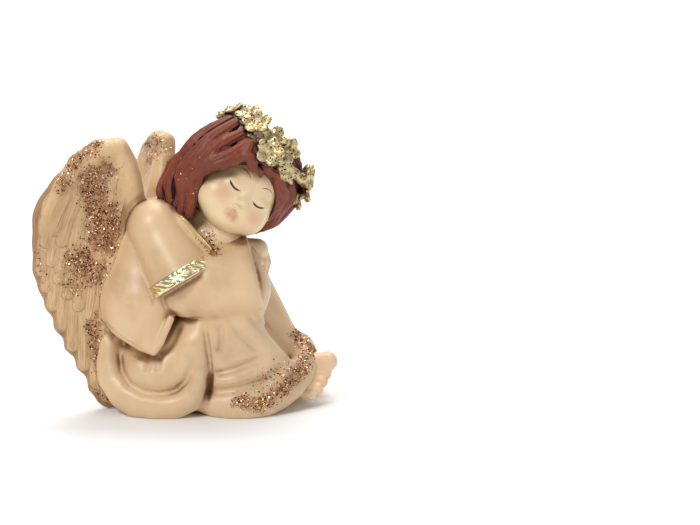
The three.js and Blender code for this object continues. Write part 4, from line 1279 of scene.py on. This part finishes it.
def wing_paint():
    material, make, shader = new_material("cream_wing_paint")
    # brown wash in the creases and painted shade in the wide folds of the wing
    wash_and_shade = use_group(make, wash_and_shade_group, Paint=paint(217, 181, 134), Wash=paint(124, 76, 38),
                     Rubbed=paint(234, 204, 160), Crease=0.75, Fold=0.75, Mottle=0.35)
    surface = use_group(make, surface_group, Grain=0.12, Scale=700.0, Gloss=0.44)
    streak_at = make.add("ShaderNodeCombineXYZ", None, X=make.math("MULTIPLY", make.attribute("barb"), 2.4),
                         Y=make.math("MULTIPLY", make.attribute("run"), 0.11)).outputs[0]
    streak = make.noise(1.0, 3.0, 0.6, vector=streak_at)
    streak_share = make.math("MULTIPLY", make.ramp(streak, 0.46, 0.7, 0.0, 0.6), make.attribute("vane"))
    streaked = make.mix(streak_share, wash_and_shade["Colour"], paint(146, 98, 56))
    # painted shade along each feather's edge, where it lies over the next
    border = make.ramp(make.attribute("border"), 0.72, 1.0, 0.0, 0.6)
    edge_shaded = make.mix(border, streaked, paint(122, 76, 40))
    glitter = make.ramp(make.attribute("glitter"), 0.08, 0.8, 0.0, 0.8)
    colour = make.mix(glitter, edge_shaded, paint(132, 82, 46))
    bump = make.add("ShaderNodeBump", None, Strength=0.6, Distance=0.0004, Height=streak,
                    Normal=surface["Normal"])
    finish_paint(make, shader, colour, surface["Roughness"], bump.outputs[0])
    return material


print("both use", wash_and_shade_group.name, "and", surface_group.name)

# %% [markdown]
# A painted eye line is thinner than the mesh can carry as colour. So the face holds the signed distance
# to the line, which changes evenly across it, and the material cuts the line out of that distance.

# %% Painted line group
line_group, make, given, result = new_group(
    "painted_line",
    [("Across", "NodeSocketFloat", 0.0), ("Taper", "NodeSocketFloat", 0.0),
     ("Half Width", "NodeSocketFloat", 0.2)],
    [("Mask", "NodeSocketFloat")])
half = make.math("MULTIPLY", given["Taper"], given["Half Width"])
inside = make.math("SUBTRACT", half, make.math("ABSOLUTE", given["Across"]))
make.tree.links.new(make.ramp(inside, -0.05, 0.07), result["Mask"])
print("a painted line takes", [socket.name for socket in given if socket.name])


def painted_line(make, name, half_width):
    return use_group(make, line_group, Across=make.attribute(name + "_across"),
                     Taper=make.attribute(name + "_taper"), Half_Width=half_width)["Mask"]


# %% Paints for skin and hair
def skin_paint(name, with_face, crease):
    material, make, shader = new_material(name)
    # brown wash in the creases and painted shade in the wide folds of the skin
    wash_and_shade = use_group(make, wash_and_shade_group, Paint=paint(232, 206, 164), Wash=paint(176, 122, 76),
                     Rubbed=paint(238, 216, 178), Crease=crease, Fold=0.45, Mottle=0.12)
    surface = use_group(make, surface_group, Grain=0.05, Scale=900.0, Gloss=0.4)
    blush = make.math("MULTIPLY", make.attribute("blush"), 0.5)
    colour = make.mix(blush, wash_and_shade["Colour"], paint(218, 146, 116))
    if with_face:
        lip = make.math("MULTIPLY", make.attribute("lip"), 0.75)
        colour = make.mix(lip, colour, paint(204, 132, 104))
        colour = make.mix(painted_line(make, "brow", 0.17), colour, paint(138, 92, 58))
        colour = make.mix(painted_line(make, "lash", 0.36), colour, paint(70, 38, 24))
    finish_paint(make, shader, colour, surface["Roughness"], surface["Normal"], subsurface=0.15)
    return material


def hair_paint():
    material, make, shader = new_material("red_brown_hair_paint")
    # dark brown wash between the strands and painted shade in the wide hollows of the hair
    wash_and_shade = use_group(make, wash_and_shade_group, Paint=paint(120, 47, 22), Wash=paint(38, 11, 6),
                     Rubbed=paint(166, 78, 38), Crease=1.0, Fold=0.85, Mottle=0.45)
    surface = use_group(make, surface_group, Grain=0.1, Scale=800.0, Gloss=0.5)
    finish_paint(make, shader, wash_and_shade["Colour"], surface["Roughness"], surface["Normal"], coat=0.04)
    return material


print("brows and lashes are drawn by", line_group.name)


# %% Metals of the garland, band and cord
def champagne_paint():
    material, make, shader = new_material("champagne_garland_paint")
    # brown wash in the garland's creases and painted shade in its wide hollows
    wash_and_shade = use_group(make, wash_and_shade_group, Paint=paint(204, 182, 130), Wash=paint(70, 50, 28),
                     Rubbed=paint(230, 212, 168), Crease=0.95, Fold=0.6, Mottle=0.2)
    surface = use_group(make, surface_group, Grain=0.5, Scale=1500.0, Gloss=0.34)
    finish_paint(make, shader, wash_and_shade["Colour"], surface["Roughness"], surface["Normal"], coat=0.3)
    metal = make.math("SUBTRACT", 0.75, make.math("MULTIPLY", wash_and_shade["Wet"], 0.5))
    make.tree.links.new(metal, shader.inputs["Metallic"])
    return material


def foil(name, light, dark, gloss):
    material, make, shader = new_material(name)
    # the dark colour in the creases is painted dark reflection on the foil
    wash_and_shade = use_group(make, wash_and_shade_group, Paint=light, Wash=dark, Rubbed=light,
                     Crease=1.0, Fold=0.1, Mottle=0.15)
    surface = use_group(make, surface_group, Grain=0.25, Scale=500.0, Gloss=gloss)
    finish_paint(make, shader, wash_and_shade["Colour"], surface["Roughness"], surface["Normal"], coat=0.2)
    shader.inputs["Metallic"].default_value = 1.0
    return material


MATERIALS = {
    "robe": robe_paint(),
    "wing": wing_paint(),
    "face": skin_paint("painted_face", True, 0.35),
    "skin": skin_paint("painted_skin", False, 0.9),
    "hair": hair_paint(),
    "garland": champagne_paint(),
    "band": foil("gold_foil", paint(246, 234, 188), paint(92, 84, 40), 0.16),
    "cord": foil("gold_cord", paint(216, 192, 132), paint(90, 68, 36), 0.3),
}
PAINT_OF = {"robe": "robe", "near_wing": "wing", "far_wing": "wing", "cuff_band": "band", "hand": "skin",
            "feet": "skin", "face": "face", "hair": "hair", "garland": "garland"}
for name, piece in parts.items():
    piece.data.materials.append(MATERIALS[PAINT_OF[name]])
print("materials:", len(MATERIALS))

# %% [markdown]
# ## Glitter
# Real craft glitter is cut foil: tiny six-sided flakes in glue, each lying at its own angle, so a few
# flash and the rest look dark. Geometry Nodes strew flakes over the marked patches. The tree has named
# inputs, a fixed seed and ends in plain mesh, so the same tree serves every kind of flake.


# %% Start and end of a tree
def new_tree(name, sockets):
    """A Geometry Nodes tree's recipe and what the tree is given, with named inputs."""
    tree = bpy.data.node_groups.new(name, "GeometryNodeTree")
    tree.is_modifier = True
    new_socket = tree.interface.new_socket
    new_socket("Geometry", in_out="INPUT", socket_type="NodeSocketGeometry")
    for socket, kind, value in sockets:
        new_socket(socket, in_out="INPUT", socket_type=kind).default_value = value
    new_socket("Material", in_out="INPUT", socket_type="NodeSocketMaterial")
    new_socket("Geometry", in_out="OUTPUT", socket_type="NodeSocketGeometry")
    make = Recipe(tree)
    return make, make.add("NodeGroupInput").outputs


def end_tree(make, placed, material):
    """Makes the placed instances plain mesh, paints them and puts them out."""
    plain = make.add("GeometryNodeRealizeInstances", None, Geometry=placed.outputs[0])
    coloured = make.add("GeometryNodeSetMaterial", None, Geometry=plain.outputs[0], Material=material)
    make.add("NodeGroupOutput", None, Geometry=coloured.outputs[0])
    return make.tree


def input_sockets(tree):
    return [item for item in tree.interface.items_tree if item.in_out == "INPUT"]


print("node groups so far:", [group.name for group in bpy.data.node_groups])


# %% Flake tree
def flake_tree():
    make, given = new_tree("strew_flakes", [
        ("Mask", "NodeSocketString", "glitter"), ("Density", "NodeSocketFloat", 1e6),
        ("Flake", "NodeSocketFloat", 0.0003), ("Lift", "NodeSocketFloat", 0.0001),
        ("Tilt", "NodeSocketFloat", 0.4), ("Seed", "NodeSocketInt", 1)])
    mask = make.add("GeometryNodeInputNamedAttribute", {"data_type": "FLOAT"}, Name=given["Mask"])
    density = make.math("MULTIPLY", make.math("POWER", mask.outputs["Attribute"], 1.6), given["Density"])
    strewn = make.add("GeometryNodeDistributePointsOnFaces", {"distribute_method": "RANDOM"},
                      Mesh=given["Geometry"], Density=density, Seed=given["Seed"])
    lift = make.add("ShaderNodeVectorMath", {"operation": "SCALE"},
                    i0=strewn.outputs["Normal"], Scale=given["Lift"])
    raised = make.add("GeometryNodeSetPosition", None,
                      Geometry=strewn.outputs["Points"], Offset=lift.outputs[0])
    back = make.math("MULTIPLY", given["Tilt"], -1.0)
    low = make.add("ShaderNodeCombineXYZ", None, X=back, Y=back, Z=0.0).outputs[0]
    high = make.add("ShaderNodeCombineXYZ", None, X=given["Tilt"], Y=given["Tilt"], Z=6.28).outputs[0]
    turn = make.add("FunctionNodeRandomValue", {"data_type": "FLOAT_VECTOR"},
                    i0=low, i1=high, Seed=given["Seed"])
    lean = make.add("FunctionNodeEulerToRotation", None, Euler=turn.outputs[0]).outputs[0]
    rotation = make.add("FunctionNodeRotateRotation", {"rotation_space": "LOCAL"},
                        i0=strewn.outputs["Rotation"], i1=lean)
    size = make.add("FunctionNodeRandomValue", {"data_type": "FLOAT"}, i2=0.6, i3=1.35, Seed=given["Seed"])
    flake = make.add("GeometryNodeMeshCircle", {"fill_type": "NGON"}, Vertices=6, Radius=given["Flake"])
    placed = make.add("GeometryNodeInstanceOnPoints", None, Points=raised.outputs[0],
                      Instance=flake.outputs[0], Rotation=rotation.outputs[0], Scale=size.outputs[1])
    return end_tree(make, placed, given["Material"])


FLAKE_TREE = flake_tree()
print("flake tree inputs:", [socket.name for socket in input_sockets(FLAKE_TREE)])


# %% Run a tree and keep its mesh
def run_tree(host, tree, name, **inputs):
    """Runs a Geometry Nodes tree on host and returns the result as a plain mesh object."""
    modifier = host.modifiers.new(name, "NODES")
    modifier.node_group = tree
    names = {socket.name: socket.identifier for socket in input_sockets(tree)}
    for key, value in inputs.items():
        modifier[names[key]] = value
    bpy.context.view_layer.update()
    evaluated = host.evaluated_get(bpy.context.evaluated_depsgraph_get())
    mesh = bpy.data.meshes.new_from_object(evaluated)
    mesh.name = name
    host.modifiers.remove(modifier)
    return new_object(name, mesh)


def flake_metal(name, light, dark, gloss):
    """Foil whose colour changes from flake to flake, by a noise of one flake's size."""
    material, make, shader = new_material(name)
    speck = make.noise(1400.0, 0.0)
    colour = make.mix(make.ramp(speck, 0.35, 0.65), dark, light)
    rough = make.ramp(make.noise(2100.0, 0.0), 0.3, 0.7, gloss, gloss + 0.25)
    make.tree.links.new(colour, shader.inputs["Base Color"])
    make.tree.links.new(rough, shader.inputs["Roughness"])
    shader.inputs["Metallic"].default_value = 1.0
    return material


FLAKE_LIFT = 0.00008
# each kind: hosts, mask, flakes in a square metre, flake radius, tilt, seed, light and dark foil, gloss
FLAKE_KINDS = {
    "copper_glitter": (("near_wing", "far_wing", "robe", "hair", "face"), "glitter", 3.1e6, 0.00032, 0.55, 11,
                       paint(226, 170, 118), paint(150, 92, 52), 0.2),
    "rose_glitter": (("near_wing", "far_wing", "robe", "hair"), "glitter", 1.3e6, 0.00026, 0.6, 23,
                     paint(255, 238, 214), paint(240, 200, 158), 0.14),
    "dark_glitter": (("near_wing", "robe"), "glitter", 1.0e6, 0.00034, 0.4, 37,
                     paint(110, 62, 38), paint(40, 20, 12), 0.25),
    "champagne_glitter": (("garland",), "bloom", 0.4e6, 0.00028, 0.6, 41,
                          paint(250, 236, 196), paint(214, 186, 124), 0.14),
    "garland_specks": (("garland",), "bloom", 0.55e6, 0.00030, 0.3, 53,
                       paint(96, 62, 34), paint(34, 20, 12), 0.25),
}
garland_mesh = parts["garland"].data
garland_crease = np.empty(len(garland_mesh.vertices), F32)
garland_mesh.attributes["crease"].data.foreach_get("value", garland_crease)
attribute(garland_mesh, "bloom", 1 - 0.6 * garland_crease)

glitter = []
for kind, (hosts, mask, density, size, tilt, seed, light, dark, gloss) in FLAKE_KINDS.items():
    foil_paint = flake_metal(kind, light, dark, gloss)
    made = [run_tree(parts[host], FLAKE_TREE, f"{kind}_{host}", Mask=mask, Density=density, Flake=size,
                     Lift=FLAKE_LIFT, Tilt=tilt, Seed=seed, Material=foil_paint) for host in hosts]
    glitter += made
    print(kind, sum(len(piece.data.polygons) for piece in made), "flakes")

# %% [markdown]
# ## The cord at the neck
# A thin twisted cord of gold is cast along the neckline. A twist is a row of slanting beads, so a second
# tree sets a long bead at every step of a line and leans it. The line runs on the collar, on the side
# that faces the front.

# %% Cord tree
def cord_tree():
    make, given = new_tree("twist_cord", [
        ("Pitch", "NodeSocketFloat", 0.0008), ("Bead", "NodeSocketFloat", 0.0006),
        ("Lean", "NodeSocketFloat", 0.6)])
    line = make.add("GeometryNodeMeshToCurve", None, Mesh=given["Geometry"])
    even = make.add("GeometryNodeResampleCurve", {"mode": "LENGTH"},
                    Curve=line.outputs[0], Length=given["Pitch"])
    tangent = make.add("GeometryNodeInputTangent").outputs[0]
    along = make.add("FunctionNodeAlignRotationToVector", {"axis": "X"}, Vector=tangent).outputs[0]
    lean = make.add("FunctionNodeEulerToRotation", None,
                    Euler=make.add("ShaderNodeCombineXYZ", None, Y=given["Lean"]).outputs[0]).outputs[0]
    rotation = make.add("FunctionNodeRotateRotation", {"rotation_space": "LOCAL"}, i0=along, i1=lean)
    bead = make.add("GeometryNodeMeshIcoSphere", None, Radius=given["Bead"], Subdivisions=2)
    placed = make.add("GeometryNodeInstanceOnPoints", None, Points=even.outputs[0], Instance=bead.outputs[0],
                      Rotation=rotation.outputs[0], Scale=(1.5, 0.75, 0.75))
    return end_tree(make, placed, given["Material"])


CORD_TREE = cord_tree()
print("cord tree inputs:", [socket.name for socket in input_sockets(CORD_TREE)])

# %% Lay the cord on the collar
CORD_OFF = 1.45
CORD_STEPS = 24
cord_places = evenly(COLLAR, CORD_STEPS) + CORD_OFF * (0.87 * to_front + 0.5 * vec(0.75, 0, 0.66))
line_mesh = bpy.data.meshes.new("collar_line")
line_mesh.from_pydata(to_metres(cord_places).tolist(), [(i, i + 1) for i in range(CORD_STEPS)], [])
collar_line = new_object("collar_line", line_mesh)
neck_cord = run_tree(collar_line, CORD_TREE, "neck_cord", Pitch=0.0009, Bead=0.00085, Lean=0.7,
                     Material=MATERIALS["cord"])
bpy.data.objects.remove(collar_line)
parts["neck_cord"] = neck_cord
print("cord:", len(neck_cord.data.polygons), "faces")

# %% [markdown]
# ## Riding the frame
# The casting has one body. Every mesh rides on it and stands for the one frame node, whose plain shape is
# then hidden.

# %% Ride and replace
NODE = "angel_figurine"
for piece in [*parts.values(), *glitter]:
    if not len(piece.data.polygons):
        bpy.data.objects.remove(piece)
        continue
    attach(piece, "root")
    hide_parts(NODE)

# %% [markdown]
# ## Studio
# The photograph is a catalogue shot on white: a long lens a little above the figure, one big soft light
# from the upper left, and a pale floor that runs up behind.

# %% Floor and backdrop
FLOOR_SPAN = 3.0
SWEEP_START = 1.0
SWEEP_RADIUS = 0.6


def sweep_floor():
    bend = [(SWEEP_START + SWEEP_RADIUS * math.sin(a), SWEEP_RADIUS - SWEEP_RADIUS * math.cos(a))
            for a in np.linspace(0, math.pi / 2, 13)]
    profile = [(-FLOOR_SPAN, 0), *bend, (SWEEP_START + SWEEP_RADIUS, FLOOR_SPAN)]
    corners = np.array([(x, y, z) for y, z in profile for x in (-FLOOR_SPAN, FLOOR_SPAN)])
    faces = np.array([(2 * i, 2 * i + 1, 2 * i + 3, 2 * i + 2) for i in range(len(profile) - 1)])
    floor = new_object("studio_floor", mesh_from("studio_floor", corners, faces))
    material, make, shader = new_material("white_paper_sweep")
    tone = make.mix(make.noise(3.0), (0.93, 0.93, 0.93, 1), (0.95, 0.95, 0.95, 1))
    make.tree.links.new(tone, shader.inputs["Base Color"])
    shader.inputs["Roughness"].default_value = 0.9
    floor.data.materials.append(material)


sweep_floor()
print("the paper runs up", SWEEP_START, "m behind the figure")


# %% Lights
def aimed_along(way):
    return Vector(way).to_track_quat("-Z", "Y").to_euler()


def soft_light(name, place, aim, size, power):
    data = bpy.data.lights.new(name, "AREA")
    data.size = size
    data.energy = power
    light = new_object(name, data)
    light.location = place
    light.rotation_euler = aimed_along(np.array(aim, float) - np.array(place, float))


AIM = (0, 0, 0.065)
soft_light("key_softbox", (-0.5, -0.75, 0.8), AIM, 0.35, 6.2)
soft_light("fill_softbox", (0.8, -0.7, 0.45), AIM, 0.7, 1.3)
soft_light("top_softbox", (0.1, 0.1, 1.0), AIM, 0.6, 2.6)
soft_light("backdrop_softbox", (0, 0.7, 1.5), (0, 1.4, 0.2), 1.2, 17)
world = bpy.data.worlds.new("studio_air")
bpy.context.scene.world = world
world.use_nodes = True
air = world.node_tree.nodes["Background"].inputs
air["Color"].default_value = (1, 1, 1, 1)
air["Strength"].default_value = 0.34
bpy.context.scene.view_settings.view_transform = "Standard"
print("lights:", [light.name for light in bpy.data.lights])

# %% [markdown]
# The camera looks down by the same tilt that the folds were drawn with. One pixel of the frame covers a
# known length at the figure, so the distance follows from the lens, and the aim from the ground's place.

# %% Camera
FRAME_WIDTH, FRAME_HEIGHT = 700, 525
PIXEL = 0.323
GROUND_PIXEL = (184, 419.5)
LENS = 150.0
SENSOR = 36.0
frame_centre = (vec((FRAME_WIDTH / 2 - GROUND_PIXEL[0]) * PIXEL, NEAREST, 0)
                + upright * (GROUND_PIXEL[1] - FRAME_HEIGHT / 2) * PIXEL)
aim = to_metres(frame_centre)
camera_distance = FRAME_WIDTH * PIXEL * METRES * LENS / SENSOR
camera_data = bpy.data.cameras.new("catalogue_camera")
camera_data.lens = LENS
camera_data.sensor_width = SENSOR
camera_data.clip_start = 0.01
camera = new_object("catalogue_camera", camera_data)
camera.location = aim + np.array(to_front, float) * camera_distance
camera.rotation_euler = aimed_along(-np.array(to_front, float))
bpy.context.scene.camera = camera
print("camera stands", round(camera_distance, 2), "m away")
